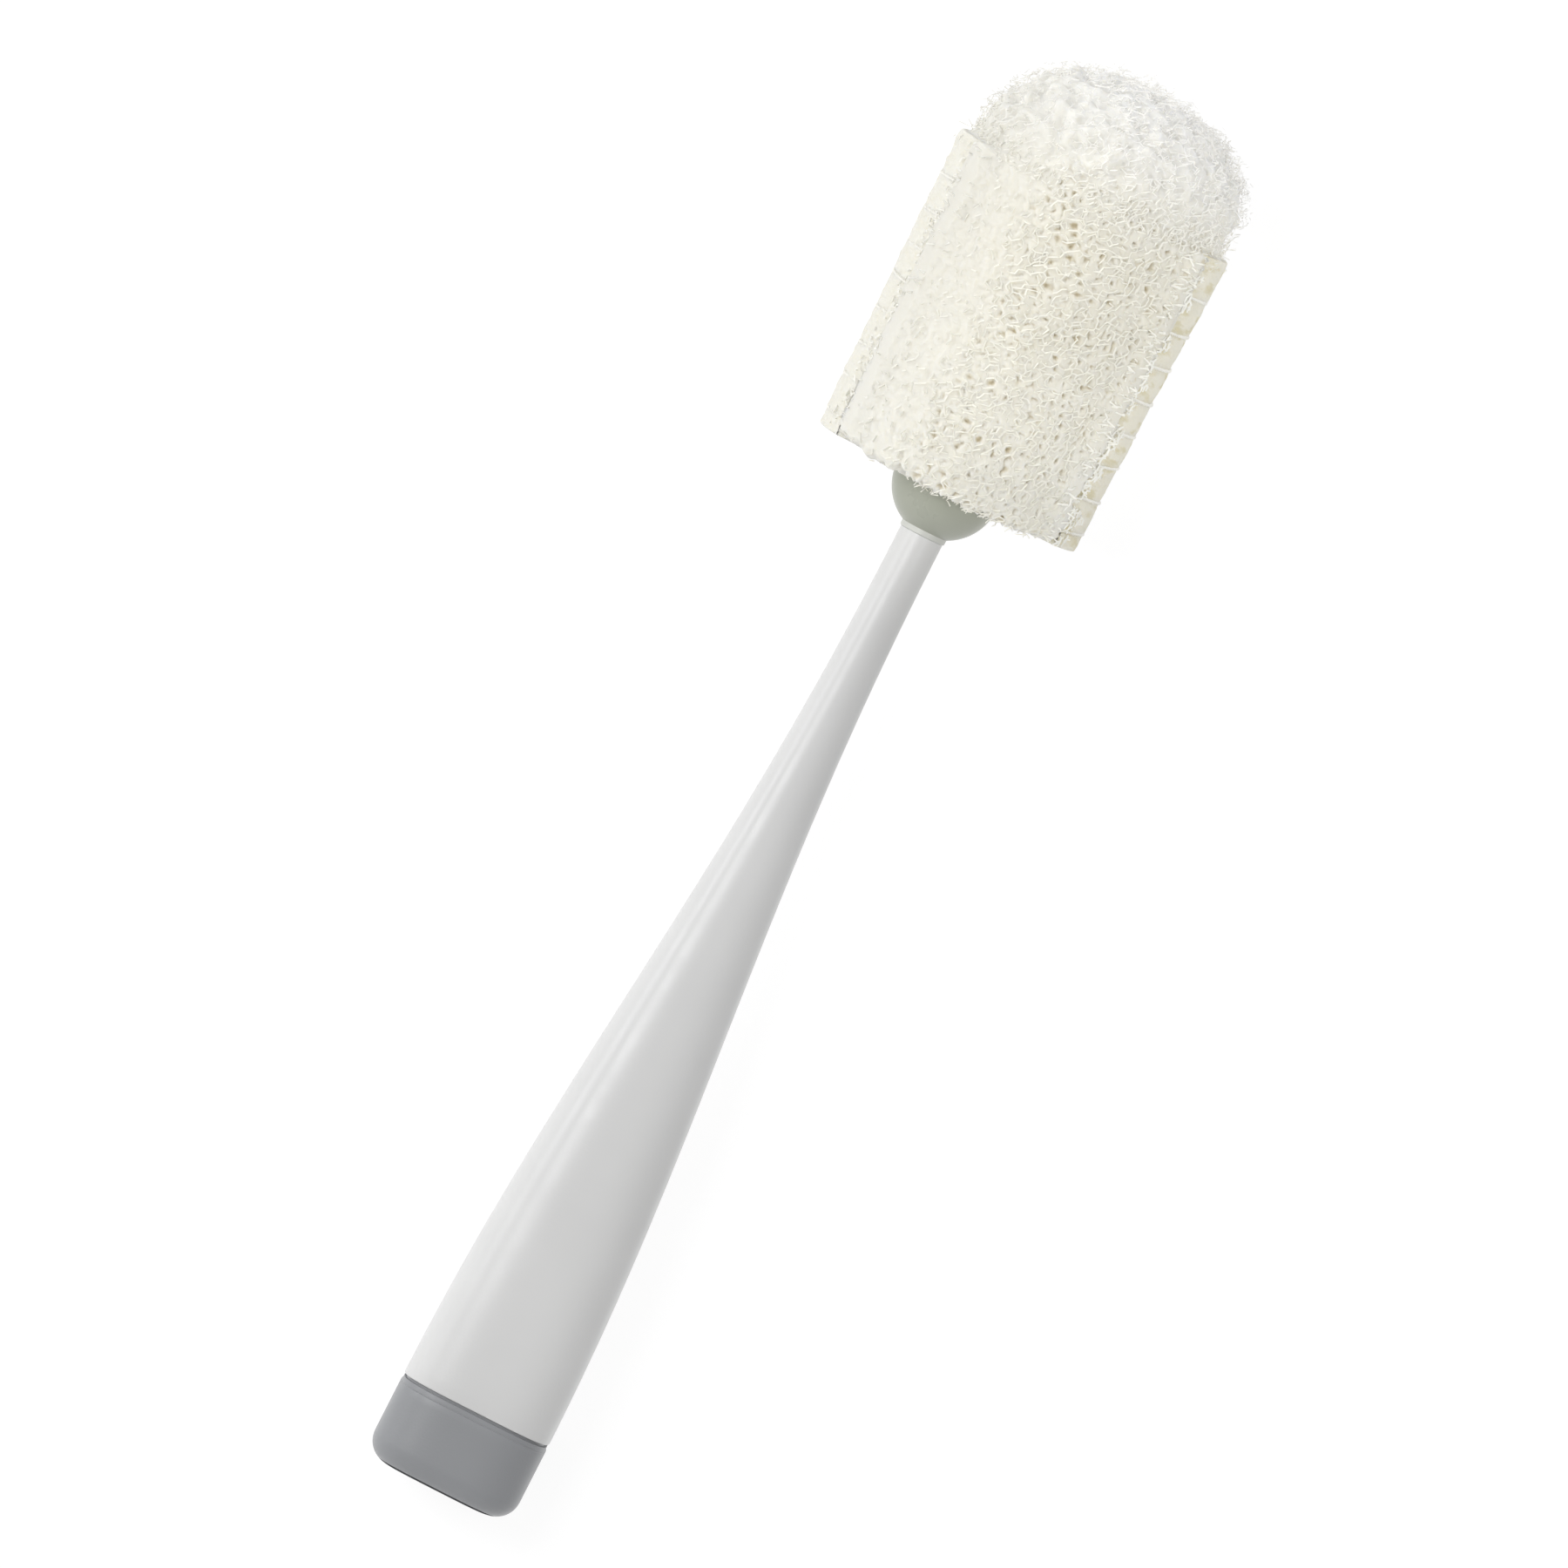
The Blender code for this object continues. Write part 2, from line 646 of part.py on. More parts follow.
clear_scene()
brush = new_collection("bottle_brush")
cutters = new_collection("cutters")
handle_frame = add_frame(
    brush,
    "handle_frame",
    location=(-middle_of_length(), 0.0, AXIS_HEIGHT),
    rotation=(0.0, math.pi / 2 - RISE, 0.0),
)
head_frame = add_frame(brush, "head_frame", handle_frame, location=(0.0, 0.0, NECK_END))
build_handle(handle_frame)
build_head(head_frame)
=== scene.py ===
# %% [markdown]
# A bottle brush lies on a pale table. It has a long off-white handle with a grey end cap, a sage
# green cup, and a round foam head wrapped in coarse white mesh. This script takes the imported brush,
# keeps its places, and gives each piece the form and finish that the eye sees.

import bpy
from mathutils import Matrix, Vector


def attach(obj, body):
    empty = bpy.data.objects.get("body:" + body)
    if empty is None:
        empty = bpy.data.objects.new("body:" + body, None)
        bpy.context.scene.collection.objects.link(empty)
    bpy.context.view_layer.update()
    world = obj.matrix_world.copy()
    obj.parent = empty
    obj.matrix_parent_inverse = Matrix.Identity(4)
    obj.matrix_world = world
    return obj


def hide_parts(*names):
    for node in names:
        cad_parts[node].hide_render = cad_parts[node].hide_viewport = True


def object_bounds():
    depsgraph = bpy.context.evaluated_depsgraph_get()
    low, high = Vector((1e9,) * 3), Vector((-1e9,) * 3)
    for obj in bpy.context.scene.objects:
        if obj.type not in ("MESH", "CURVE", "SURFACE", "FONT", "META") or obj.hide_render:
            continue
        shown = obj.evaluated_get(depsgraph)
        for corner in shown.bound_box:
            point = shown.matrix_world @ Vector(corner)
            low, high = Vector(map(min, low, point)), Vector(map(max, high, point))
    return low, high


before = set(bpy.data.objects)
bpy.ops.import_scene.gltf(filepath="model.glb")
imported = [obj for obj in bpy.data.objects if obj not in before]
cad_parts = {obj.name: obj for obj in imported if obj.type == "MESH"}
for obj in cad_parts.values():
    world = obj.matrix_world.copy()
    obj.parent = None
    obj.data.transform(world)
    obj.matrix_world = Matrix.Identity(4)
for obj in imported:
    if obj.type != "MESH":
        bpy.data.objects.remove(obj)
packed_low, packed_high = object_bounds()
packed_size = packed_high - packed_low
print("packed brush, mm:", [round(side * 1000, 1) for side in packed_size])

# %% [markdown]
# Lengths are written in millimetres and made metres by MM. Every random draw comes from one seeded
# source, so that the brush comes out the same each time.

# %% Tools and units
import math

import bmesh
import bpy
import numpy as np
from mathutils import Matrix, Vector
from mathutils.kdtree import KDTree

MM = 0.001
chance = np.random.default_rng(27)

# %% [markdown]
# The brush is easiest to make standing on its cap, as if on a lathe, so that a height is simply a
# distance along the axis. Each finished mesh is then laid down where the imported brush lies. The
# axis starts at the flat end of the cap and rises a little over three degrees, because the
# head is thicker than the grip and both touch the table.

# %% From standing to lying
AXIS_START = Vector((-0.16172, 0.0, 0.016345))
AXIS = Vector((0.9983597, 0.0, 0.0572527))
turn_down = Vector((0.0, 0.0, 1.0)).rotation_difference(AXIS)
LYING = Matrix.Translation(AXIS_START) @ turn_down.to_matrix().to_4x4()
print("axis rises", round(math.degrees(math.asin(AXIS.z)), 2), "degrees")

# %% [markdown]
# The camera looks straight down through a long lens, so the brush keeps its true proportions. The
# picture is turned, and the head points up and to the right, 27 degrees off upright.

# %% Camera
PICTURE_WIDTH, PIXELS = 321.5 * MM, 1800
CAMERA_HEIGHT, MIDDLE_HEIGHT = 8.0, 0.03
LEAN = math.radians(27)


def new_object(name, data):
    """A new object in the scene."""
    made = bpy.data.objects.new(name, data)
    bpy.context.scene.collection.objects.link(made)
    return made


lens = bpy.data.cameras.new("camera")
lens.sensor_width = 36.0
lens.lens = lens.sensor_width * (CAMERA_HEIGHT - MIDDLE_HEIGHT) / PICTURE_WIDTH
lens.clip_end = 100.0
camera = new_object("camera", lens)
picture_turn = LEAN - math.pi / 2
picture_right = Vector((math.cos(picture_turn), math.sin(picture_turn), 0.0))
picture_up = Vector((-math.sin(picture_turn), math.cos(picture_turn), 0.0))
pixel = PICTURE_WIDTH / PIXELS
middle = (packed_low + packed_high) / 2
camera.location = middle - 12 * pixel * picture_right + 1 * pixel * picture_up
camera.location.z = CAMERA_HEIGHT
camera.rotation_euler = (0.0, 0.0, picture_turn)
bpy.context.scene.camera = camera
print("lens of", round(lens.lens), "mm")

# %% [markdown]
# The light is that of a product photographer's white tent: walls that glow brightest near the table
# and a darker roof, where the camera looks in. Two soft square lamps on the left, one low and one
# high, draw the long highlight on the handle. The foam head needs flatter light, so a small
# spotlight from the right reaches only the head.

# %% Studio lamps
def studio_lamp(name, kind, place, aim, power):
    """A lamp at a place that faces its aim."""
    glow = bpy.data.lights.new(name, kind)
    glow.energy = power
    lamp = new_object(name, glow)
    lamp.location = place
    lamp.rotation_euler = (Vector(aim) - Vector(place)).to_track_quat("-Z", "Y").to_euler()
    return glow


table_middle, head_middle = (0.0, 0.0, 0.0), (0.113, 0.0, 0.03)
low_lamp = studio_lamp("low_lamp", "AREA", (0.21, 1.19, 0.70), table_middle, 3.7)
high_lamp = studio_lamp("high_lamp", "AREA", (0.09, 0.52, 1.30), table_middle, 6.1)
for glow in (low_lamp, high_lamp):
    glow.size = 0.5
spot = studio_lamp("head_spot", "SPOT", (0.113, -0.70, 1.21), head_middle, 20.5)
spot.shadow_soft_size = 0.025
spot.spot_size = math.radians(4.8)
spot.spot_blend = 0.3

# %% [markdown]
# The camera has to see clean white behind the brush, whatever the tent's walls give. Light Path
# tells its rays, and those that plastic mirrors, from the rays that carry light.

# %% Node helpers
def feed(owner, node, inputs):
    """Gives inputs their values, or the outputs that feed them."""
    links = getattr(owner, "node_tree", owner).links
    for name, value in inputs.items():
        if isinstance(value, bpy.types.NodeSocket):
            links.new(value, node.inputs[name])
        else:
            node.inputs[name].default_value = value


def add_node(owner, kind, inputs=None, **settings):
    """A new node for a material, for the world, or in a node tree."""
    node = getattr(owner, "node_tree", owner).nodes.new(kind)
    for setting, value in settings.items():
        setattr(node, setting, value)
    feed(owner, node, inputs or {})
    return node


def worked_out(owner, how, first, second):
    """One value from two, such as their product."""
    return add_node(owner, "ShaderNodeMath", {0: first, 1: second}, operation=how).outputs[0]


def spread(owner, source, low, high, start=0.3, end=0.7):
    """Turns values from start to end into values from low to high."""
    ends = {"From Min": start, "From Max": end, "To Min": low, "To Max": high}
    return add_node(owner, "ShaderNodeMapRange", {"Value": source, **ends}).outputs["Result"]


def seen_directly(owner):
    """1 for rays from the camera, straight or mirrored, and 0 for rays that carry light."""
    path = add_node(owner, "ShaderNodeLightPath")
    found = path.outputs["Is Camera Ray"]
    for way in ("Is Glossy Ray", "Is Transmission Ray"):
        found = worked_out(owner, "MAXIMUM", found, path.outputs[way])
    return found


# %% White tent
WALL_LIGHT, ROOF_LIGHT = 1.8, 0.34
LEFT_WALL, RIGHT_WALL = 1.12, 0.88

world = bpy.data.worlds.new("white_tent")
bpy.context.scene.world = world
world.use_nodes = True
way = add_node(world, "ShaderNodeTexCoord").outputs["Generated"]
height = add_node(world, "ShaderNodeSeparateXYZ", {0: way})
light = spread(world, height.outputs["Z"], WALL_LIGHT, ROOF_LIGHT, 0.0, 0.5)
side = spread(world, height.outputs["Y"], RIGHT_WALL, LEFT_WALL, -1.0, 1.0)
walls = worked_out(world, "MULTIPLY", light, side)
level = spread(world, seen_directly(world), walls, 1.0, 0.0, 1.0)
tent = {"Color": (1.0, 1.0, 1.0, 1.0), "Strength": level}
feed(world, world.node_tree.nodes["Background"], tent)
bpy.context.scene.view_settings.view_transform = "Standard"

# %% [markdown]
# The table is a large pale sheet. To the camera it adds a little light of its own, so that it shows
# as white and still keeps a faint shadow of the brush.

# %% Table
TABLE_RADIUS, TABLE_GLOW = 6.0, 0.89


def finished_mesh(name, bm):
    """The mesh that a bmesh has become."""
    mesh = bpy.data.meshes.new(name)
    bm.to_mesh(mesh)
    bm.free()
    return mesh


def plain_table():
    bm = bmesh.new()
    bmesh.ops.create_circle(bm, cap_ends=True, segments=96, radius=TABLE_RADIUS)
    mesh = finished_mesh("table", bm)
    table = new_object("table", mesh)
    sheet = bpy.data.materials.new("white_sheet")
    sheet.use_nodes = True
    sheet.node_tree.nodes.clear()
    matt = add_node(sheet, "ShaderNodeBsdfDiffuse", {"Color": (0.8, 0.8, 0.8, 1.0)}).outputs[0]
    pale = add_node(sheet, "ShaderNodeBsdfDiffuse", {"Color": (0.2, 0.2, 0.2, 1.0)}).outputs[0]
    glow = add_node(sheet, "ShaderNodeEmission", {"Strength": TABLE_GLOW}).outputs[0]
    lit = add_node(sheet, "ShaderNodeAddShader", {0: pale, 1: glow}).outputs[0]
    choice = {"Fac": seen_directly(sheet), 1: matt, 2: lit}
    shown = add_node(sheet, "ShaderNodeMixShader", choice).outputs[0]
    add_node(sheet, "ShaderNodeOutputMaterial", {"Surface": shown})
    mesh.materials.append(sheet)


plain_table()

# %% [markdown]
# The hard pieces are all moulded plastic with a satin face. Real moulded plastic isn't one flat
# colour: it has very faint clouds, its gloss wanders, and a fine grain from the mould breaks up the
# highlight. Three noise patterns at three sizes give that, read on Object coordinates, so that they
# stay on the piece when it moves.

# %% Finish helpers
def new_finish(name):
    """A material and its Principled shader."""
    finish = bpy.data.materials.new(name)
    finish.use_nodes = True
    return finish, finish.node_tree.nodes["Principled BSDF"]


def pattern(finish, kind, size, stretch=None, **inputs):
    """A pattern node on Object coordinates, whose features are about this size."""
    nodes = finish.node_tree.nodes
    place = nodes.get("Texture Coordinate") or nodes.new("ShaderNodeTexCoord")
    source = place.outputs["Object"]
    if stretch:
        drawn = {"Scale": stretch, "Vector": source}
        source = add_node(finish, "ShaderNodeMapping", drawn).outputs["Vector"]
    return add_node(finish, kind, {"Scale": 1 / size, "Vector": source, **inputs})


def noise(finish, size, detail, stretch=None):
    """Soft random clouds about this size."""
    return pattern(finish, "ShaderNodeTexNoise", size, stretch, Detail=detail).outputs["Fac"]


def along_brush(finish, axis, low, high, start, end):
    """Goes from low to high between two places on one axis of the brush."""
    nodes = finish.node_tree.nodes
    place = nodes["Texture Coordinate"].outputs["Object"]
    split = nodes.get("Separate XYZ") or add_node(finish, "ShaderNodeSeparateXYZ", {0: place})
    return spread(finish, split.outputs[axis], low, high, start, end)


def blend_colours(finish, share, first, second):
    """A colour between two, where each is a colour or a socket."""
    node = add_node(finish, "ShaderNodeMix", {"Factor": share}, data_type="RGBA")
    for name, colour in (("A", first), ("B", second)):
        side = next(x for x in node.inputs if x.name == name and x.type == "RGBA")
        if isinstance(colour, tuple):
            side.default_value = (*colour, 1.0)
        else:
            finish.node_tree.links.new(colour, side)
    return next(x for x in node.outputs if x.type == "RGBA")


def clouded(finish, colour, darkest, size, detail):
    """The colour with soft clouds in it that are darker, down to this share."""
    darker = tuple(darkest * part for part in colour)
    tone = spread(finish, noise(finish, size, detail), 0.0, 1.0)
    return blend_colours(finish, tone, darker, colour)


def relief(finish, shader, height, depth):
    """Bumps this deep in the shader's normal."""
    bump = add_node(finish, "ShaderNodeBump", {"Distance": depth, "Height": height})
    feed(finish, shader, {"Normal": bump.outputs["Normal"]})


# %% Satin plastic
GLOSS_WANDER = 0.035


def satin_plastic(name, colour, roughness, grain=0.012 * MM, sheen=0.5):
    finish, shader = new_finish(name)
    body = clouded(finish, colour, 0.965, 22 * MM, 2.0)
    duller, glossier = roughness + GLOSS_WANDER, roughness - GLOSS_WANDER
    gloss = spread(finish, noise(finish, 6 * MM, 3.0), glossier, duller)
    relief(finish, shader, noise(finish, 0.45 * MM, 2.0), grain)
    feed(finish, shader, {"Base Color": body, "Roughness": gloss, "Specular IOR Level": sheen})
    return finish


handle_white = satin_plastic("handle_white", (0.712, 0.712, 0.708), 0.32)
cap_grey = satin_plastic("cap_grey", (0.283, 0.29, 0.303), 0.38, 0.02 * MM)
# The foot's near-black is painted shade: the dark line of shade along the cap's bottom edge.
foot_painted_shade = satin_plastic("foot_painted_shade", (0.08, 0.082, 0.086), 0.9, sheen=0.0)
holder_sage = satin_plastic("holder_sage", (0.375, 0.39, 0.325), 0.3)
collar_pale = satin_plastic("collar_pale", (0.62, 0.63, 0.59), 0.36)
spindle_white = satin_plastic("spindle_white", (0.72, 0.72, 0.69), 0.45)
washer_white = satin_plastic("washer_white", (0.70, 0.70, 0.68), 0.45)

# %% [markdown]
# Handle and cap are rounded squares in section. A round ring of corners is pulled out to that shape
# by one formula: with a power of 2 it stays a circle, and with 4 it gets flat sides and soft
# corners. Drawing such a ring on from section to section, up the outside and back down the inside,
# gives a real hollow wall with one closed skin.

# %% Drawing a ring from section to section
RING_SIDES = 96
WELD = 0.002 * MM


def start_ring(bm, sides, section):
    bmesh.ops.create_circle(bm, segments=sides, radius=0.001)
    set_section(bm.verts, section)
    return bm.edges[:]


def set_section(corners, section):
    """Moves corners to a section: half width, height, and 2 for round up to 4 for square."""
    half_width, height, power = section
    for corner in corners:
        x, y = corner.co.xy.normalized()
        reach = half_width / (abs(x) ** power + abs(y) ** power) ** (1 / power)
        corner.co = (reach * x, reach * y, height)


def draw_on(bm, rim, sections):
    """Draws an open rim on through more sections, and gives its last rim."""
    for section in sections:
        drawn = bmesh.ops.extrude_edge_only(bm, edges=rim)["geom"]
        rim = [x for x in drawn if isinstance(x, bmesh.types.BMEdge) and x.is_boundary]
        set_section({corner for edge in rim for corner in edge.verts}, section)
    return rim


# %% Putting a piece in place
def place_piece(name, mesh, finish, body, slot, *stands_for):
    """A laid-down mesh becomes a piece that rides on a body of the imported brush."""
    mesh.materials.append(finish)
    piece = new_object(name, mesh)
    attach(piece, body)
    if stands_for:
        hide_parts(*stands_for)
    print(name, len(mesh.polygons), "faces")
    return piece


def lay_down(name, bm, sharp=35):
    """Turns a standing bmesh into a smooth mesh that lies with the brush."""
    bmesh.ops.remove_doubles(bm, verts=bm.verts, dist=WELD)
    bmesh.ops.recalc_face_normals(bm, faces=bm.faces)
    bmesh.ops.transform(bm, matrix=LYING, verts=bm.verts)
    mesh = finished_mesh(name, bm)
    mesh.shade_smooth()
    mesh.set_sharp_from_angle(angle=math.radians(sharp))
    return mesh


# %% [markdown]
# The handle grows from a thin round neck to a square grip in one soft swell, like half a cosine
# wave. It is hollow: the cap plugs into its wide end, and its neck is a socket for the head's stem.

# %% Handle
GRIP, NECK = 16.65 * MM, 4.75 * MM
HANDLE_BOTTOM, NECK_END = 18.4 * MM, 219.6 * MM
SOCKET, SOCKET_DEPTH, LEAD_IN, WALL = 3.1 * MM, 46.0 * MM, 0.4 * MM, 2.0 * MM
HANDLE_RINGS, INNER_RINGS = 72, 24


def swell(height):
    share = (NECK_END - height) / (NECK_END - HANDLE_BOTTOM)
    return 0.5 - 0.5 * math.cos(math.pi * min(max(share, 0.0), 1.0) ** 1.1)


def handle_section(height, inset=0.0):
    grown = swell(height)
    return NECK + (GRIP - NECK) * grown - inset, height, 2.0 + 2.0 * grown**0.6


def handle_shell():
    bm = bmesh.new()
    edge = 0.3 * MM
    foot = handle_section(HANDLE_BOTTOM, edge)
    rim = start_ring(bm, RING_SIDES, foot)
    rounding = [(0.12, 0.04), (0.04, 0.12), (0.0, 0.3)]
    rounding = [(HANDLE_BOTTOM + up * MM, side * MM) for side, up in rounding]
    rim = draw_on(bm, rim, [handle_section(height, side) for height, side in rounding])
    length = NECK_END - HANDLE_BOTTOM - 2 * edge
    rings = range(1, HANDLE_RINGS + 1)
    outside = [HANDLE_BOTTOM + edge + length * ring / HANDLE_RINGS for ring in rings]
    rim = draw_on(bm, rim, [handle_section(height) for height in outside])
    lip = [(0.01, -0.05), (0.05, -0.01), (0.3, 0.0)]
    rim = draw_on(bm, rim, [(NECK - side * MM, NECK_END + up * MM, 2.0) for side, up in lip])
    bore = [(SOCKET + LEAD_IN, NECK_END), (SOCKET, NECK_END - LEAD_IN)]
    bore.append((SOCKET, NECK_END - SOCKET_DEPTH))
    rim = draw_on(bm, rim, [(half_width, height, 2.0) for half_width, height in bore])
    top = NECK_END - SOCKET_DEPTH - 14.0 * MM
    rings = range(INNER_RINGS + 1)
    inside = [top + (HANDLE_BOTTOM - top) * ring / INNER_RINGS for ring in rings]
    draw_on(bm, rim, [handle_section(height, WALL) for height in inside])
    bmesh.ops.bridge_loops(bm, edges=[edge for edge in bm.edges if edge.is_boundary])
    return lay_down("long_handle", bm)


place_piece("long_handle", handle_shell(), handle_white, "handle", "handle_white", "handle_shell")

# %% [markdown]
# The end cap is a cup with a well rounded bottom edge. Its rim is a narrow band, stepped in by a
# fifth of a millimetre, and above it a shallow groove runs round as the seam to the handle. It is
# drawn the same way, from its flat bottom up over the rim and the spigot, and down to its floor.
# The bottom is a thin foot in near-black, matt finish: painted shade that draws the dark line of
# shade along the cap's bottom edge.

# %% End cap
CAP_HEIGHT, CAP_EDGE, SEAM_DEPTH = 17.8 * MM, 5.0 * MM, 0.8 * MM
FOOT_HEIGHT = 0.55 * MM
SQUARE = 4.0


def end_cap():
    bm = bmesh.new()
    rim = start_ring(bm, RING_SIDES, (GRIP - CAP_EDGE - 0.2 * MM, 0.0, SQUARE))
    sections = []
    foot_turn = math.acos(1 - FOOT_HEIGHT / CAP_EDGE)
    turns = [foot_turn * step / 3 for step in range(3)]
    turns += [foot_turn + (math.pi / 2 - foot_turn) * step / 9 for step in range(10)]
    for turn in turns:
        half_width = GRIP - CAP_EDGE * (1 - math.sin(turn))
        sections.append((half_width, CAP_EDGE * (1 - math.cos(turn)), SQUARE))
    outside = [(GRIP, height * MM, SQUARE) for height in (7, 9, 11, 13, 15, 16.4)]
    band = [(0.03, -1.28), (0.1, -1.2), (0.2, -1.14), (0.22, -0.35), (0.25, -0.12), (0.33, -0.02)]
    band += [(SEAM_DEPTH / MM, 0.0), (SEAM_DEPTH / MM, 0.55)]
    outside += [(GRIP - side * MM, CAP_HEIGHT + up * MM, SQUARE) for side, up in band]
    spigot = GRIP - WALL - 0.6 * MM
    groove = GRIP - WALL - 1.9 * MM
    inside = [(spigot, 18.35), (spigot, 22.2), (groove, 22.2), (groove, 24.6), (spigot, 24.6)]
    inside += [(spigot, 26.3), (spigot - 0.6 * MM, 26.9), (groove - 1.3 * MM, 26.9)]
    inside.append((groove - 1.3 * MM, 2.4))
    sections += outside + [(half_width, height * MM, SQUARE) for half_width, height in inside]
    draw_on(bm, rim, sections)
    bmesh.ops.holes_fill(bm, edges=bm.edges, sides=0)
    # Faces below the foot's height take the second finish, the foot's painted shade.
    for face in bm.faces:
        face.material_index = int(face.calc_center_median().z < FOOT_HEIGHT - 0.01 * MM)
    return lay_down("grey_cap", bm)


cap = place_piece("grey_cap", end_cap(), cap_grey, "handle", "cap_grey", "end_cap")
cap.data.materials.append(foot_painted_shade)

# %% [markdown]
# The holder is a half-round cup of sage plastic with a small pale collar on the neck. A few corners
# drawn down its outline and spun once round the axis make it, as a lathe would.

# %% Turning on the lathe
def turn(bm, outline, steps=RING_SIDES):
    """Spins an outline of radius and height pairs once round the axis."""
    corners = [bm.verts.new((radius, 0.0, height)) for radius, height in outline]
    line = [bm.edges.new(pair) for pair in zip(corners, corners[1:])]
    bmesh.ops.spin(
        bm,
        geom=corners + line,
        axis=(0.0, 0.0, 1.0),
        cent=(0.0, 0.0, 0.0),
        angle=2 * math.pi,
        steps=steps,
        use_merge=True,
    )
    bmesh.ops.remove_doubles(bm, verts=bm.verts, dist=WELD)


def arc(radius, centre, first, last, steps):
    """Points on a ball's outline between two heights."""
    start = math.acos((centre - first) / radius)
    turns = math.acos((centre - last) / radius) - start
    angles = [start + turns * step / steps for step in range(steps + 1)]
    return [(radius * math.sin(a), centre - radius * math.cos(a)) for a in angles]


# %% Holder
BALL, BALL_CENTRE = 11.36 * MM, NECK_END + 11.376 * MM
MOUTH = BALL_CENTRE - 0.6 * MM
STEM = 2.6 * MM


def head_holder():
    bm = bmesh.new()
    collar_top = NECK_END + 1.2 * MM
    outline = arc(BALL, BALL_CENTRE, MOUTH, collar_top, 28)
    foot = NECK_END + 0.03 * MM
    outline += [(5.05 * MM, foot + 0.15 * MM), (4.9 * MM, foot)]
    outline += [(STEM + 0.3 * MM, foot), (STEM + 0.3 * MM, NECK_END + 4.0 * MM)]
    outline += arc(BALL - WALL, BALL_CENTRE, NECK_END + 4.0 * MM, MOUTH - 1.9 * MM, 10)
    outline += [(9.6 * MM, MOUTH - 1.9 * MM), (9.6 * MM, MOUTH), outline[0]]
    turn(bm, outline)
    for face in bm.faces:
        middle = face.calc_center_median()
        if middle.z < collar_top and middle.xy.length > STEM + 1.0 * MM:
            face.material_index = 1
    return lay_down("green_cup", bm, 25)


holder = place_piece(
    "green_cup", head_holder(), holder_sage, "head", "holder_sage", "head_holder"
)
holder.data.materials.append(collar_pale)

# %% [markdown]
# The foam is a slab cut from a round block: its two flat sides lie under the mesh, and its two
# round sides stay bare. Foam gives, so its edges are soft, the lacing pulls shallow waists into it,
# and its surface is a little uneven.

# %% Foam slab
FOAM_BOTTOM, FOAM_TOP = 230.676 * MM, 297.776 * MM
FOAM_BASE, FOAM_SHOULDER = 29.5 * MM, 30.8 * MM
SLAB = 31.4 * MM / 2
BORE, POCKET, POCKET_DEPTH = 5.5 * MM, 9.3 * MM, 4.6 * MM
LACING_FIRST, LACING_PITCH, CROSSINGS = FOAM_BOTTOM + 3.6 * MM, 7.7 * MM, 8


def foam_radius(height):
    share = (height - FOAM_BOTTOM) / (FOAM_TOP - FOAM_BOTTOM)
    return FOAM_BASE + (FOAM_SHOULDER - FOAM_BASE) * share


def waves(points, length, seed):
    """Smooth random swells about this long, from -1 to 1, that repeat nowhere on the head."""
    throw = np.random.default_rng(seed)
    way = throw.normal(size=(3, 9))
    way /= np.linalg.norm(way, axis=0) * length * throw.uniform(0.7, 1.4, 9)
    return np.sin(2 * np.pi * (points @ way + throw.uniform(0, 1, 9))).sum(1) / 9**0.5 / 1.4


def foam_slab():
    bm = bmesh.new()
    side = [FOAM_BOTTOM + (FOAM_TOP - FOAM_BOTTOM) * step / 88 for step in range(89)]
    outline = [(BORE, FOAM_BOTTOM)]
    outline += [(foam_radius(height), height) for height in side]
    outline += [(POCKET, FOAM_TOP), (POCKET, FOAM_TOP - POCKET_DEPTH)]
    outline += [(BORE, FOAM_TOP - POCKET_DEPTH), outline[0]]
    turn(bm, outline, 180)
    for way in (1.0, -1.0):
        everything = bm.verts[:] + bm.edges[:] + bm.faces[:]
        bmesh.ops.bisect_plane(
            bm, geom=everything, plane_co=(way * SLAB, 0, 0), plane_no=(way, 0, 0), clear_outer=True
        )
        cut = [edge for edge in bm.edges if edge.is_boundary]
        bmesh.ops.holes_fill(bm, edges=cut, sides=0)
    spokes = []
    for edge in bm.edges:
        ends = (corner.co for corner in edge.verts)
        inner, outer = sorted(ends, key=lambda co: co.xy.length)
        near_corner = outer.xy.length > 27 * MM and abs(outer.x) > 13.4 * MM
        if near_corner and inner.xy.length < 10 * MM:
            spokes.append(edge)
    bmesh.ops.dissolve_edges(bm, edges=spokes, use_verts=False)
    bmesh.ops.recalc_face_normals(bm, faces=bm.faces)
    bm.normal_update()
    sharp = [e for e in bm.edges if e.calc_face_angle(0.0) > math.radians(40)]
    outer = [e for e in sharp if e.verts[0].co.xy.length > 12 * MM]
    bmesh.ops.bevel(
        bm, geom=outer, affect="EDGES", offset=0.45 * MM, segments=3, profile=0.5, material=-1
    )
    places = np.array([corner.co for corner in bm.verts])
    sway = 0.22 * MM * waves(places, 16 * MM, 5) + 0.14 * MM * waves(places, 3 * MM, 6)
    sway += np.where(places[:, 1] > 0, 0.14, 0.07) * MM * waves(places, 1.9 * MM, 7)
    for corner, swell_out in zip(bm.verts, sway):
        radius = corner.co.xy.length
        if radius < 12 * MM:
            continue
        crossing = (corner.co.z - LACING_FIRST) / LACING_PITCH
        near = (crossing - round(min(max(crossing, 0), CROSSINGS - 1))) * LACING_PITCH
        pinch = 0.12 * MM * math.exp(-((near / (1.0 * MM)) ** 2))
        corner.co.xy *= 1 + (swell_out - 0.2 * MM - pinch * (radius > 28 * MM)) / radius
    return lay_down("foam_slab", bm)
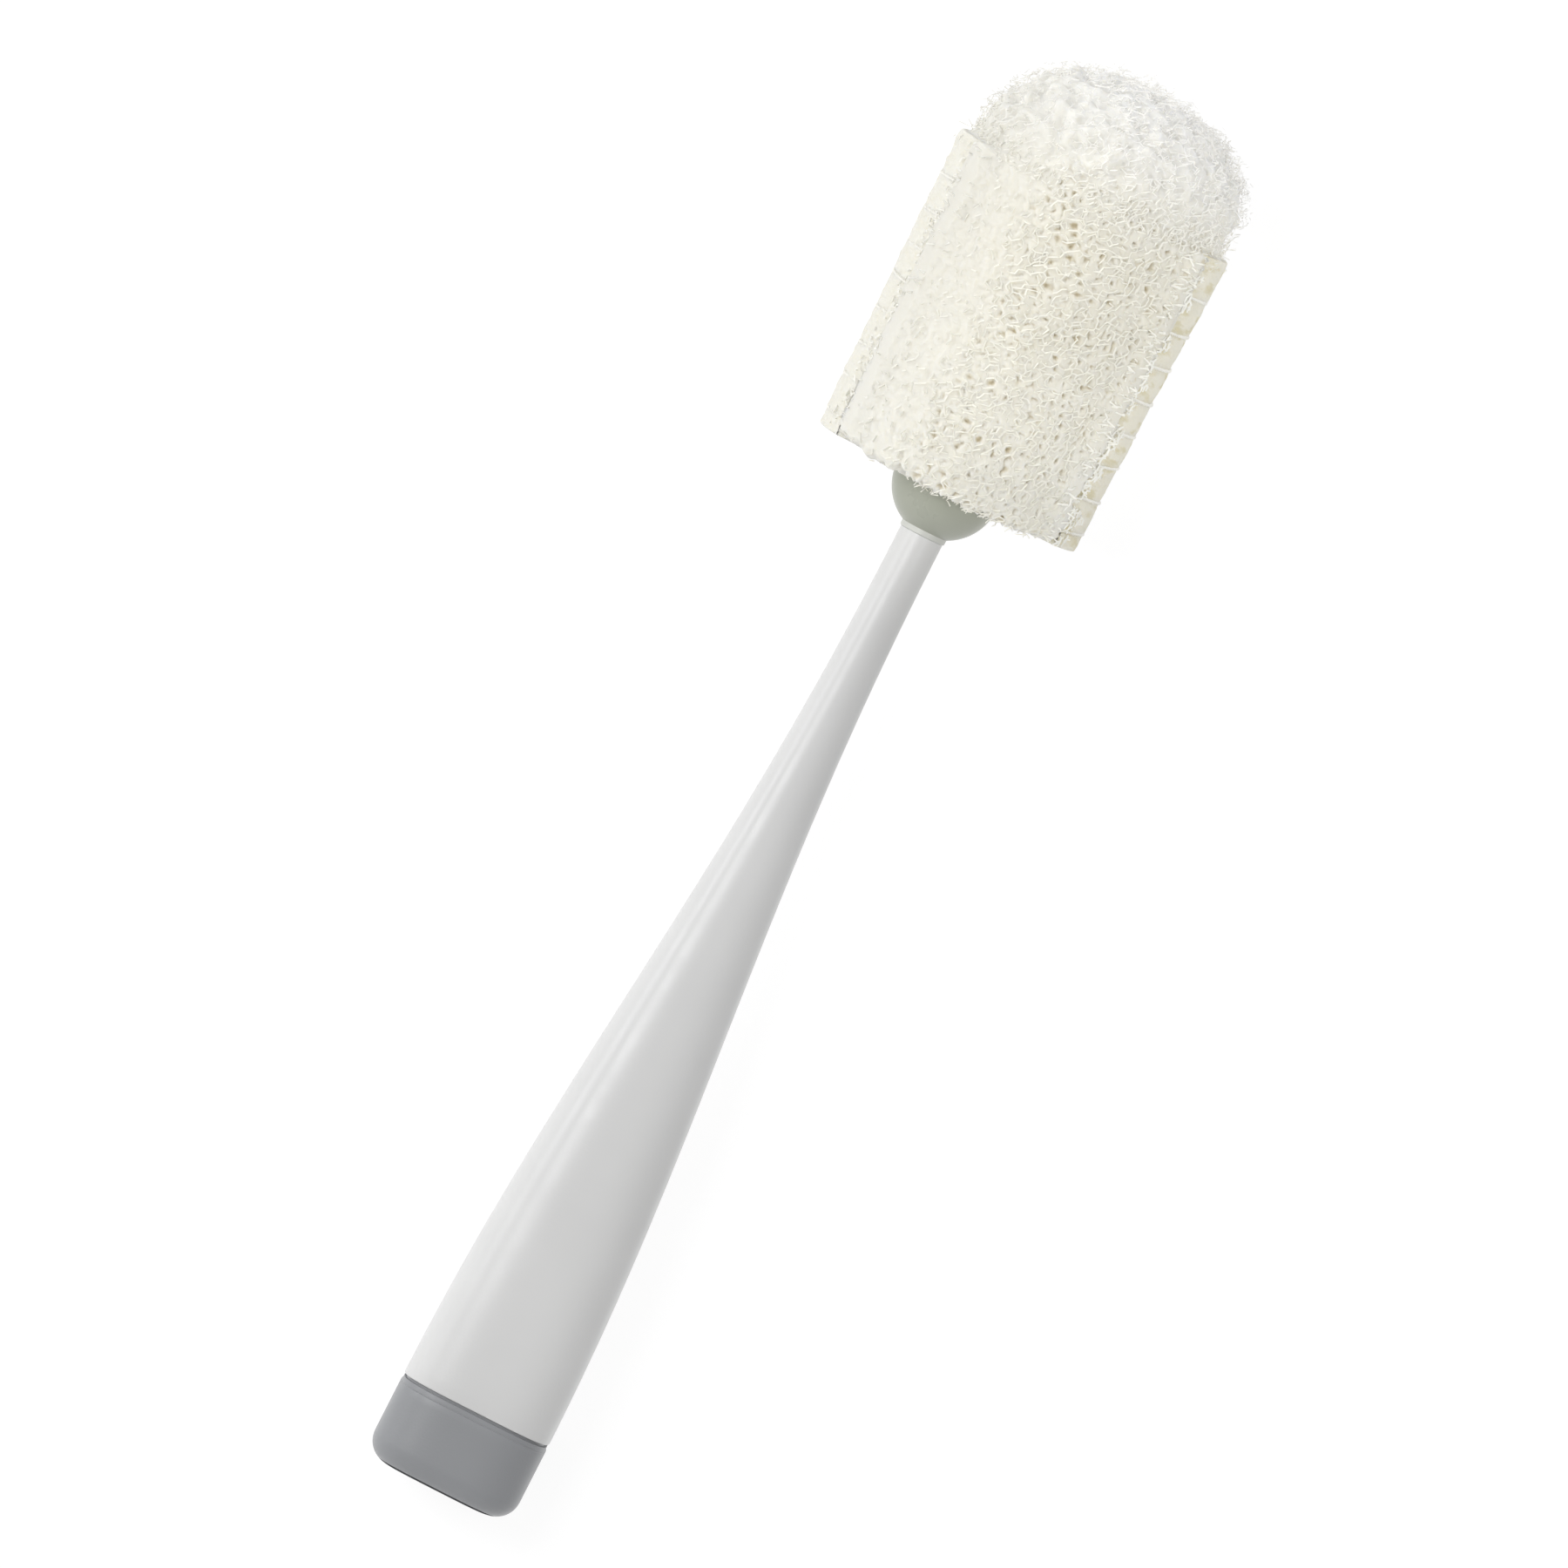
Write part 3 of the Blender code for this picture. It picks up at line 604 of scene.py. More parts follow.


# %% [markdown]
# Light doesn't stop at the surface of foam and fibre. It goes in, scatters, and comes out again a
# millimetre or two away, which fills the pits and takes the hardness off every shadow. Subsurface
# scattering does exactly that. Red goes a little further than blue, so thin places look warm. The
# foam is yellower on the right, where short streaks run across it. Its left is painted less yellow,
# darker and nearly without streaks: painted washout and shade for the stronger light from the
# left. The middle of each pore is painted darker, as painted shade.

# %% Light in soft stuff
def scatter_inside(finish, shader, colour, roughness, how_far):
    shader.subsurface_method = "RANDOM_WALK"
    surface = {"Base Color": colour, "Roughness": roughness, "Specular IOR Level": 0.2}
    inside = {"Subsurface Radius": (1.0, 0.97, 0.88), "Subsurface Scale": how_far}
    feed(finish, shader, {**surface, **inside, "Subsurface Weight": 1.0})


# %% Foam
def soft_foam():
    finish, shader = new_finish("foam_cream")
    pores = pattern(finish, "ShaderNodeTexVoronoi", 0.75 * MM).outputs["Distance"]
    tone = spread(finish, noise(finish, 7 * MM, 4.0), 0.0, 1.0)
    # Painted light and shade by side: the left colours are less yellow and darker, for the stronger
    # light from the left.
    right = blend_colours(finish, tone, (0.85, 0.812, 0.675), (0.885, 0.85, 0.725))
    left = blend_colours(finish, tone, (0.765, 0.747, 0.665), (0.78, 0.766, 0.695))
    body = blend_colours(finish, along_brush(finish, "Y", 0.0, 1.0, -0.02, 0.02), right, left)
    streaks = noise(finish, 2.0 * MM, 5.0, (1.0, 0.25, 0.25))
    streaks = spread(finish, streaks, 0.0, 1.0, 0.5, 0.64)
    # Painted washout: the streaks fade out towards the left, where the light is strongest.
    streaks_faded_by_painted_washout = along_brush(finish, "Y", 1.0, 0.1, -0.02, 0.02)
    streaks = worked_out(finish, "MULTIPLY", streaks, streaks_faded_by_painted_washout)
    body = blend_colours(finish, streaks, body, (0.745, 0.685, 0.475))
    # Painted shade: the middle of each pore is darker.
    pore_painted_shade = spread(finish, pores, 0.5, 0.0, 0.05, 0.36)
    body = blend_colours(finish, pore_painted_shade, body, (0.82, 0.78, 0.64))
    relief(finish, shader, spread(finish, pores, 0.0, 1.0, 0.0, 0.6), 0.14 * MM)
    scatter_inside(finish, shader, body, 0.9, 1.6 * MM)
    return finish


foam_cream = soft_foam()
slab = place_piece("foam_slab", foam_slab(), foam_cream, "head", "foam_cream", "foam_core")

# %% [markdown]
# The mesh is the hard one. It is an open foam of coarse springy cells: no walls, only thin ribs
# that meet four at a time. A flat texture can't show that, because light goes in between the ribs
# and the edge of the head is ragged. So the ribs are made. The ideal foam cell is an octahedron
# with its tips cut off, and copies of it fill space without a gap. Its edges are the ribs.

# %% One foam cell
def foam_cell(side):
    """Corners and ribs of a cell of a stack whose cubes have this side."""
    bm = bmesh.new()
    bmesh.ops.create_uvsphere(bm, u_segments=4, v_segments=2, radius=0.75 * side)
    bmesh.ops.bevel(
        bm,
        geom=bm.verts[:] + bm.edges[:],
        affect="VERTICES",
        offset_type="PERCENT",
        offset=100 / 3,
        segments=1,
        profile=0.5,
        material=-1,
    )
    corners = np.array([corner.co for corner in bm.verts])
    ribs = np.array([[corner.index for corner in edge.verts] for edge in bm.edges])
    bm.free()
    return corners, ribs


one_corners, one_ribs = foam_cell(1.0)
print("one cell has", len(one_corners), "corners and", len(one_ribs), "ribs")

# %% [markdown]
# The wrap's own outside says where ribs may grow: a nearly straight round wall, a low dome on top
# and a flat lower end. One function gives how deep any point lies under it. The wrap is drawn in
# above the slab's shoulders and over the left of its dome, and the mesh hangs a little over the
# slab's edges and over the green cup. The left of each pad is matted smooth, and its right is open.

# %% How deep a point lies
DOME_START, DOME_RADIUS, DOME_RISE = 305.876 * MM, 28.75 * MM, 17.0 * MM
PAD_CORNER, PAD_CORNER_RISE, PAD_EDGE = 18.8 * MM, 8.2 * MM, 25.2 * MM
WRAP_BASE, WRAP_SHOULDER, SHOULDER_HEIGHT = 29.6 * MM, 30.1 * MM, FOAM_TOP - 6 * MM
DENT_SIDE, DENT_HEIGHT = 27 * MM, 301 * MM


def soft_step(values, start, end):
    """0 up to the start and 1 from the end on, with a soft rise between."""
    share = np.clip((values - start) / (end - start), 0, 1)
    return share * share * (3 - 2 * share)


def dents(points):
    """How far the wrap is drawn in above the slab's shoulders, and over the left of its dome."""
    height = points[:, 2]
    left = np.clip(points[:, 1] / DENT_SIDE, 0, 1)
    right = np.clip(-points[:, 1] / DENT_SIDE, 0, 1)
    at_shoulder = np.exp(-(((height - DENT_HEIGHT) / (2.4 * MM)) ** 2))
    on_dome = np.clip((height - 303 * MM) / (6 * MM), 0, 1)
    return ((1.5 * left**4 + 0.8 * right**4) * at_shoulder + 2.6 * left**2 * on_dome) * MM


def depth_in_wrap(points, hang=0.0):
    """How far inside the wrap each point lies, and less than 0 for a point outside it."""
    radius = np.hypot(points[:, 0], points[:, 1])
    height = points[:, 2]
    wall_heights = (FOAM_BOTTOM, SHOULDER_HEIGHT, DOME_START)
    wall = np.interp(height, wall_heights, (WRAP_BASE, WRAP_SHOULDER, DOME_RADIUS)) - radius
    rise = np.maximum(height - DOME_START, 0)
    near = np.hypot(radius / DOME_RADIUS, rise / DOME_RISE)
    slope = np.hypot(radius / DOME_RADIUS**2, rise / DOME_RISE**2)
    dome = near * (1 - near) / np.maximum(slope, 1.0)
    over = np.clip((np.abs(points[:, 1]) - PAD_CORNER) / (PAD_EDGE - PAD_CORNER), 0, 1)
    lower_end = height - FOAM_BOTTOM - PAD_CORNER_RISE * (1 - np.sqrt(1 - over**2)) + hang
    return np.minimum(np.where(height < DOME_START, wall, dome), lower_end) - dents(points)


def lumps(points):
    """How far the wrap's surface swells out here. The dome is the lumpiest."""
    on_dome = np.clip((points[:, 2] - FOAM_TOP) / (8 * MM), 0, 1)
    small = 0.22 * waves(points, 5 * MM, 41) + 0.1 * waves(points, 2.6 * MM, 42)
    large = 1.1 * waves(points, 6 * MM, 43) + 0.35 * waves(points, 3.2 * MM, 44)
    return (small * (1 - 0.5 * matted(points)) + on_dome * large) * MM


def matted(points):
    """1 on the left of each pad, where the fibre is matted smooth, down to 0 on the right."""
    return soft_step(points[:, 1], 3 * MM, 14 * MM)


def hang_below(points):
    """How far the pads' ragged lower edge hangs past the foam here."""
    flat = points * (1.0, 1.0, 0.0)
    ragged = 0.8 + 0.5 * waves(flat, 4 * MM, 33) + 0.35 * waves(flat, 1.6 * MM, 34)
    share = np.clip((21 * MM - np.abs(points[:, 1])) / (4 * MM), 0, 1)
    return np.maximum(ragged, 0) * MM * share


def way_out(points):
    """The direction straight out of the wrap."""
    rise = np.maximum(points[:, 2] - DOME_START, 0)
    out = points / DOME_RADIUS**2
    out[:, 2] = rise / DOME_RISE**2
    return out / np.linalg.norm(out, axis=1)[:, None]


def mesh_side(points):
    """How far to either side the mesh reaches at each height, ragged."""
    along = np.sign(points) * 40 * MM
    along[:, 2] = points[:, 2]
    ragged = 25.7 * MM + 1.5 * MM * waves(along, 5 * MM, 51)
    ragged = ragged + 0.5 * MM * waves(along, 1.7 * MM, 52)
    return ragged + 0.85 * matted(points) * (26.9 * MM - ragged)


def clear_of_foam(points, gap):
    """True where a point lies outside the foam slab by at least the gap."""
    radius = np.hypot(points[:, 0], points[:, 1])
    beside = np.abs(points[:, 0]) > SLAB + gap
    above = points[:, 2] > FOAM_TOP + gap
    around = radius > foam_radius(points[:, 2]) + gap
    return beside | above | around


# %% [markdown]
# Cells are stacked wherever the wrap's outside is. The stack is tilted, swayed and shaken, so that
# no rows show, and drawn out a little on the bias, as mesh is when it is pulled round a head. The
# pads have coarse cells and stout ribs, and the dome has thin ribs.

# %% Stacking the cells
bias_way = np.array((0.0, -math.cos(math.radians(33)), math.sin(math.radians(33))))
BIAS = 0.9 * np.eye(3) + 0.5 * np.outer(bias_way, bias_way)


def stack_cells(cell, out, down, bottom):
    """Corners and ribs of cells of this size, from so far out to so far down in the wrap."""
    reach = int(60 * MM / cell) + 1
    steps = np.arange(-reach, reach + 1)
    cubes = np.stack(np.meshgrid(steps, steps, steps, indexing="ij"), -1).reshape(-1, 3)
    centres = np.concatenate([cubes, cubes + 0.5])
    tilt = Matrix.Rotation(0.61, 3, "X") @ Matrix.Rotation(0.37, 3, "Y")
    tilt = cell * BIAS @ np.array(tilt @ Matrix.Rotation(0.83, 3, "Z"))
    heart = np.array((0.0, 0.0, 277 * MM))
    places = centres @ tilt.T + heart
    depth = depth_in_wrap(places)
    near = (depth > -out - cell) & (depth < down + cell) & (places[:, 2] > bottom - cell)
    centres = centres[near]
    corners = (centres[:, None] + one_corners[None]).reshape(-1, 3)
    grid = np.rint(corners * 4).astype(np.int64) + 4096
    key = (grid[:, 0] * 8192 + grid[:, 1]) * 8192 + grid[:, 2]
    _, first, same = np.unique(key, return_index=True, return_inverse=True)
    number = len(one_corners) * np.arange(len(centres))
    ribs = same.reshape(-1)[(one_ribs[None] + number[:, None, None]).reshape(-1, 2)]
    ribs = np.unique(np.sort(ribs, axis=1), axis=0)
    return corners[first] @ tilt.T + heart, ribs


def shake(corners, cell):
    swayed = corners.copy()
    for way in range(3):
        swayed[:, way] += 0.45 * MM * waves(corners, 9 * MM, 11 + way)
        swayed[:, way] += 0.08 * cell * waves(corners, 1.2 * cell, 21 + way)
    return swayed + chance.uniform(-0.1, 0.1, corners.shape) * cell


# %% [markdown]
# Ribs thin out towards the outside, which leaves loose ends and a ragged edge. On the pads they lie
# half sunk in the body below, like the matted strands of a real pad, and few are left where the pad
# is matted smooth. At the slab's edges they climb over the foam, and on the dome a fine fuzz stands
# clear of the rest.

# %% Ragged pads and fuzzy dome
NET_DEPTH = 0.8 * MM


def lie_down(corners):
    """Most corners settle close to the surface, and one in seven stays where it was."""
    depth = depth_in_wrap(corners) + lumps(corners)
    on_dome = np.clip((corners[:, 2] - FOAM_TOP) / (6 * MM), 0, 1)
    loose = chance.uniform(0, 1, len(corners)) < 0.12 * (1 - matted(corners))
    looseness = np.where(loose, 0.8, 0.22 + 0.6 * on_dome)
    settled = 0.15 * MM + looseness * (depth - 0.15 * MM)
    near = np.abs(depth) < 2 * MM
    return corners + way_out(corners) * (near * (depth - settled))[:, None]


def press_on_foam(corners):
    """Corners that would sink into the foam's round side, or stand off it, lie down on it."""
    radius = np.hypot(corners[:, 0], corners[:, 1])
    side = np.abs(corners[:, 1])
    foam = foam_radius(corners[:, 2])
    over = (np.abs(corners[:, 0]) < SLAB + 0.3 * MM) & (side > 20 * MM)
    over &= (radius > foam - 1.3 * MM) & (radius < foam + 1.8 * MM)
    over &= corners[:, 2] < FOAM_TOP + 0.5 * MM
    pressed = foam + np.interp(radius - foam, (-1.3 * MM, 1.8 * MM), (0.22 * MM, 0.7 * MM))
    share = np.where(over, pressed / radius, 1.0)
    return corners * np.stack([share, share, np.ones(len(share))], 1)


def middle_of(corners, ribs):
    return (corners[ribs[:, 0]] + corners[ribs[:, 1]]) / 2


def both_ends_clear(corners, ribs, gap):
    """True for ribs whose two ends keep this gap to the foam."""
    clear = clear_of_foam(corners, gap)
    return clear[ribs[:, 0]] & clear[ribs[:, 1]]


def pad_ribs(corners, ribs):
    middles = middle_of(corners, ribs)
    depth = depth_in_wrap(middles, hang_below(middles)) + lumps(middles)
    radius = np.hypot(middles[:, 0], middles[:, 1])
    side = np.abs(middles[:, 1])
    foam = foam_radius(middles[:, 2])
    over_foam = (side > 20 * MM) & (middles[:, 2] < FOAM_TOP)
    over_foam &= (radius < foam + 0.9 * MM) & (radius > foam - 0.4 * MM)
    luck = chance.uniform(0, 1, len(ribs))
    kept = (depth > -0.35 * MM) | over_foam
    kept &= (depth < NET_DEPTH) & (side < mesh_side(middles))
    kept &= luck < np.interp(depth, (-0.9 * MM, -0.3 * MM, 0.5 * MM), (0.5, 0.7, 0.95))
    kept &= chance.uniform(0, 1, len(ribs)) > 0.8 * matted(middles)
    lowest = FOAM_BOTTOM - np.where(side < 19.5 * MM, 2.2 * MM, 0.0)
    kept &= (middles[:, 2] > lowest) & both_ends_clear(corners, ribs, 0.2 * MM)
    beside = np.abs(middles[:, 0]) > SLAB - 1.5 * MM
    kept &= beside | (middles[:, 2] > FOAM_TOP)
    return ribs[kept]


def fringe_ribs(corners, ribs):
    middles = middle_of(corners, ribs)
    radius, side = np.hypot(middles[:, 0], middles[:, 1]), np.abs(middles[:, 1])
    above = radius - np.maximum(foam_radius(middles[:, 2]), 29 * MM)
    kept = (above > -0.4 * MM) & (above < 1.1 * MM) & (middles[:, 2] < FOAM_TOP)
    kept &= (side > 22.5 * MM) & (side < mesh_side(middles) + 0.9 * MM)
    kept &= middles[:, 2] > FOAM_BOTTOM + 0.5 * MM
    kept &= chance.uniform(0, 1, len(ribs)) < 0.75 - 0.65 * matted(middles)
    return ribs[kept & both_ends_clear(corners, ribs, 0.18 * MM)]


def dome_ribs(corners, ribs):
    middles = middle_of(corners, ribs)
    depth = depth_in_wrap(middles) + lumps(middles)
    luck = chance.uniform(0, 1, len(ribs))
    clumps = np.clip(0.7 + 0.5 * waves(middles, 3.5 * MM, 71), 0.2, 1.0)
    kept = depth < 0.6 * MM
    fewer = np.interp(depth, (-1.8 * MM, -0.7 * MM, 0.0, 0.6 * MM), (0.0, 0.38, 0.42, 0.22))
    kept &= luck < fewer * clumps
    kept &= luck < np.interp(middles[:, 2], (FOAM_TOP - 3 * MM, FOAM_TOP + 7 * MM), (0.0, 1.0))
    return ribs[kept & both_ends_clear(corners, ribs, 0.22 * MM)]


# %% [markdown]
# Each rib then gets a body: Geometry Nodes turns every edge into a short line and draws a
# three-sided rod along it. Three sides are enough for a rib under a millimetre thick, and near to
# the real ones, which are three-cornered too. Rods that would reach below the table bend on it.

# %% Giving the ribs a body
def rib_maker(sides):
    tree = bpy.data.node_groups.new("rib_maker", "GeometryNodeTree")
    for way in ("INPUT", "OUTPUT"):
        tree.interface.new_socket("Geometry", in_out=way, socket_type="NodeSocketGeometry")
    wire = add_node(tree, "NodeGroupInput").outputs[0]
    lines = add_node(tree, "GeometryNodeMeshToCurve", {"Mesh": wire}).outputs["Curve"]
    circle = {"Resolution": sides, "Radius": 1.0}
    circle = add_node(tree, "GeometryNodeCurvePrimitiveCircle", circle).outputs["Curve"]
    thickness = {"Name": "thickness"}
    thickness = add_node(tree, "GeometryNodeInputNamedAttribute", thickness, data_type="FLOAT")
    rods = {"Curve": lines, "Profile Curve": circle, "Scale": thickness.outputs["Attribute"]}
    rods = add_node(tree, "GeometryNodeCurveToMesh", {**rods, "Fill Caps": True})
    add_node(tree, "NodeGroupOutput", {0: rods.outputs["Mesh"]})
    return tree


TABLE_GAP = 0.03 * MM


def rest_on_table(mesh):
    """Whatever would reach below the table bends flat on it."""
    places = np.empty(len(mesh.vertices) * 3, np.float32)
    mesh.vertices.foreach_get("co", places)
    places[2::3] = np.maximum(places[2::3], TABLE_GAP)
    mesh.vertices.foreach_set("co", places)


def wire_mesh(name, corners, ribs, thickness):
    """A mesh of loose ribs with the thickness of each corner."""
    mesh = bpy.data.meshes.new(name)
    used, ribs = np.unique(ribs, return_inverse=True)
    mesh.vertices.add(len(used))
    mesh.vertices.foreach_set("co", corners[used].ravel())
    mesh.edges.add(len(ribs.reshape(-1, 2)))
    mesh.edges.foreach_set("vertices", ribs.ravel())
    thick = mesh.attributes.new("thickness", "FLOAT", "POINT")
    thick.data.foreach_set("value", thickness[used])
    mesh.transform(LYING)
    mesh.update()
    return mesh


def evaluated_mesh(carrier):
    """The mesh that an object's modifiers make."""
    graph = bpy.context.evaluated_depsgraph_get()
    return bpy.data.meshes.new_from_object(carrier.evaluated_get(graph))


def with_bodies(wire, sides=3):
    """The rods that the rib maker draws on a wire mesh, as a mesh of their own."""
    carrier = new_object("carrier", wire)
    carrier.modifiers.new("rib_maker", "NODES").node_group = rib_maker(sides)
    mesh = evaluated_mesh(carrier)
    bpy.data.objects.remove(carrier)
    return mesh


# %% [markdown]
# Real mesh fibre is off-white nylon, a little cream on the pads and nearly white on the dome. The
# rods are so thin that scattered light would only tint them, so their finish is plain and matt.
# A gradient along the brush carries the change, because one piece spans both. A gradient across
# it is painted shade: it darkens the left, where the light from the left lamps is strongest.

# %% Mesh fibre
def mesh_fibre(name, front, dome, roughness):
    finish, shader = new_finish(name)
    body = clouded(finish, front, 0.96, 3.0 * MM, 3.0)
    up = along_brush(finish, "X", 0.0, 1.0, 0.128, 0.146)
    body = blend_colours(finish, up, body, dome)
    # Painted shade: the left side is darkened against the stronger light there.
    left = along_brush(finish, "Y", 0.0, 0.6, 0.004, 0.026)
    body = blend_colours(finish, left, body, (0.78, 0.765, 0.71))
    feed(finish, shader, {"Base Color": body, "Roughness": roughness, "Specular IOR Level": 0.2})
    return finish


mesh_ivory = mesh_fibre("mesh_ivory", (0.93, 0.915, 0.835), (0.985, 0.975, 0.945), 0.5)
mesh_edge = mesh_fibre("mesh_edge", (0.985, 0.978, 0.92), (0.985, 0.978, 0.92), 0.5)

# %% [markdown]
# The three nets are made alike. On the pads only about three ribs in five get a rod. The body below
# takes its relief from all of them, so the others show as soft strands sunk in it.

# %% Nets of ribs
PAD_SHOWN = 0.62


def net_of_ribs(name, cell, out, bottom, choose, thin, stout, finish, share=1.0):
    corners, ribs = stack_cells(cell, out, NET_DEPTH, bottom)
    corners = press_on_foam(lie_down(shake(corners, cell)))
    ribs = choose(corners, ribs)
    thickness = chance.uniform(thin, stout, len(corners)) * MM
    thickness *= np.interp(depth_in_wrap(corners), (-1.0 * MM, 0.5 * MM), (0.7, 1.0))
    thickness *= np.interp(corners[:, 2], (FOAM_TOP, DOME_START), (1.0, 0.8))
    shown = ribs[chance.uniform(0, 1, len(ribs)) < share]
    print(name, "has", len(ribs), "ribs,", len(shown), "shown")
    mesh = with_bodies(wire_mesh(name, corners, shown, thickness))
    rest_on_table(mesh)
    mesh.shade_flat()
    piece = place_piece(name, mesh, finish, "head", "mesh_ivory")
    return corners, ribs


pad_bottom = FOAM_BOTTOM - 2 * MM
pad_net = net_of_ribs(
    "pad_net", 3.1 * MM, 1.1 * MM, pad_bottom, pad_ribs, 0.15, 0.25, mesh_ivory, PAD_SHOWN
)
net_of_ribs("fringe_net", 2.8 * MM, 1.8 * MM, FOAM_BOTTOM, fringe_ribs, 0.22, 0.34, mesh_edge)
net_of_ribs("dome_net", 2.4 * MM, 2.6 * MM, FOAM_TOP, dome_ribs, 0.1, 0.16, mesh_ivory)

# %% [markdown]
# Close under the outermost ribs the cells of a real pad are matted together, and only here and
# there a hole goes deep. So the rest of the wrap is one closed body: turned on the lathe, with the
# slab's space cut out of it, and remeshed to an even grid that can take lumps and holes.

# %% Heart of the wrap
HEART_INSET = 0.45 * MM


def turned_wrap(inset):
    bm = bmesh.new()
    base, shoulder = WRAP_BASE - inset, WRAP_SHOULDER - inset
    outline = [(0.0, FOAM_BOTTOM + inset), (base - 1.0 * MM, FOAM_BOTTOM + inset)]
    outline += [(base, FOAM_BOTTOM + inset + 1.0 * MM), (shoulder, SHOULDER_HEIGHT)]
    for step in range(17):
        turned = math.pi / 2 * step / 16
        radius = (DOME_RADIUS - inset) * math.cos(turned)
        outline.append((radius, DOME_START + (DOME_RISE - inset) * math.sin(turned)))
    turn(bm, outline, 120)
    bmesh.ops.recalc_face_normals(bm, faces=bm.faces)
    return finished_mesh("matted_wrap", bm)


def slab_space(gap):
    bm = bmesh.new()
    bmesh.ops.create_cube(bm, size=1.0)
    size = (2 * (SLAB + gap), 80 * MM, 2 * (FOAM_TOP - FOAM_BOTTOM))
    bmesh.ops.scale(bm, vec=size, verts=bm.verts)
    bmesh.ops.translate(bm, vec=(0, 0, FOAM_TOP - 0.15 * MM - size[2] / 2), verts=bm.verts)
    return finished_mesh("slab_space", bm)


def corner_space(inset):
    """The space below the pads' rounded lower corners, on both sides."""
    bm = bmesh.new()
    reach = PAD_EDGE - PAD_CORNER
    outline = []
    for angle in (math.pi / 2 * step / 12 for step in range(13)):
        side = PAD_CORNER + reach * math.sin(angle)
        outline.append((side, PAD_CORNER_RISE * (1 - math.cos(angle)) + inset))
    outline += [(34 * MM, PAD_CORNER_RISE + inset), (34 * MM, -5 * MM), (PAD_CORNER, -5 * MM)]
    corners = [bm.verts.new((-40 * MM, side, FOAM_BOTTOM + up)) for side, up in outline]
    drawn = bmesh.ops.extrude_face_region(bm, geom=[bm.faces.new(corners)])["geom"]
    moved = [x for x in drawn if isinstance(x, bmesh.types.BMVert)]
    bmesh.ops.translate(bm, vec=(80 * MM, 0, 0), verts=moved)
    bmesh.ops.mirror(bm, geom=bm.verts[:] + bm.edges[:] + bm.faces[:], axis="Y", merge_dist=0.0)
    bmesh.ops.recalc_face_normals(bm, faces=bm.faces)
    return finished_mesh("corner_space", bm)


def even_grid(mesh, cutters, grain):
    """The mesh less the cutters, on an even grid this fine."""
    carrier = new_object("carrier", mesh)
    tools = [new_object("tool", cutter) for cutter in cutters]
    for tool in tools:
        cut = carrier.modifiers.new("cut", "BOOLEAN")
        cut.object = tool
        cut.operation = "DIFFERENCE"
        cut.solver = "EXACT"
    grid = carrier.modifiers.new("grid", "REMESH")
    grid.mode = "VOXEL"
    grid.voxel_size = grain
    even = evaluated_mesh(carrier)
    for helper in (carrier, *tools):
        bpy.data.objects.remove(helper)
    return even


cutters = (slab_space(0.35 * MM), corner_space(HEART_INSET))
heart_mesh = even_grid(turned_wrap(HEART_INSET), cutters, 0.4 * MM)
print("heart has", len(heart_mesh.polygons), "faces")

# %% [markdown]
# The body takes its relief from the strands that lie on it: it rises to meet each strand, and sinks
# in the middle between them, here deep and there only a little. How far it sinks is kept on the
# mesh as an attribute, so that the finish can darken exactly where the surface goes deep. At the
# slab's edges the body spreads into a lip that lies over the foam.

# %% Rise to the strands, hollows between
def read_out(source, layer):
    found = np.empty(len(source) * 3, np.float32)
    source.foreach_get(layer, found)
    return found.reshape(-1, 3).astype(float)


def from_strands(net, places):
    """How far each place is from the nearest strand of a net."""
    corners, ribs = net
    ends = corners[ribs]
    along = np.array([0.1, 0.37, 0.63, 0.9])[None, :, None]
    points = (ends[:, :1] * (1 - along) + ends[:, 1:] * along).reshape(-1, 3)
    tree = KDTree(len(points))
    for index, point in enumerate(points):
        tree.insert(point, index)
    tree.balance()
    return np.array([tree.find(place)[2] for place in places])


def spread_over_foam(places, lip):
    """Where each place lies to the side once the lip, from 0 to 1, is spread over the foam."""
    foam = foam_radius(places[:, 2])
    foam_edge = np.sqrt((foam - 0.2 * MM) ** 2 - SLAB**2)
    reach = np.maximum(mesh_side(places), foam_edge + 0.1 * MM + 0.5 * MM * matted(places))
    spread_out = lip * np.clip(reach - 25.1 * MM, 0, 2.4 * MM)
    over_edge = (foam + 0.3 * MM) ** 2 - places[:, 0] ** 2
    side = np.abs(places[:, 1])
    limit = np.maximum(np.sqrt(np.maximum(over_edge, 0)), side)
    return np.sign(places[:, 1]) * np.minimum(side + spread_out, limit)


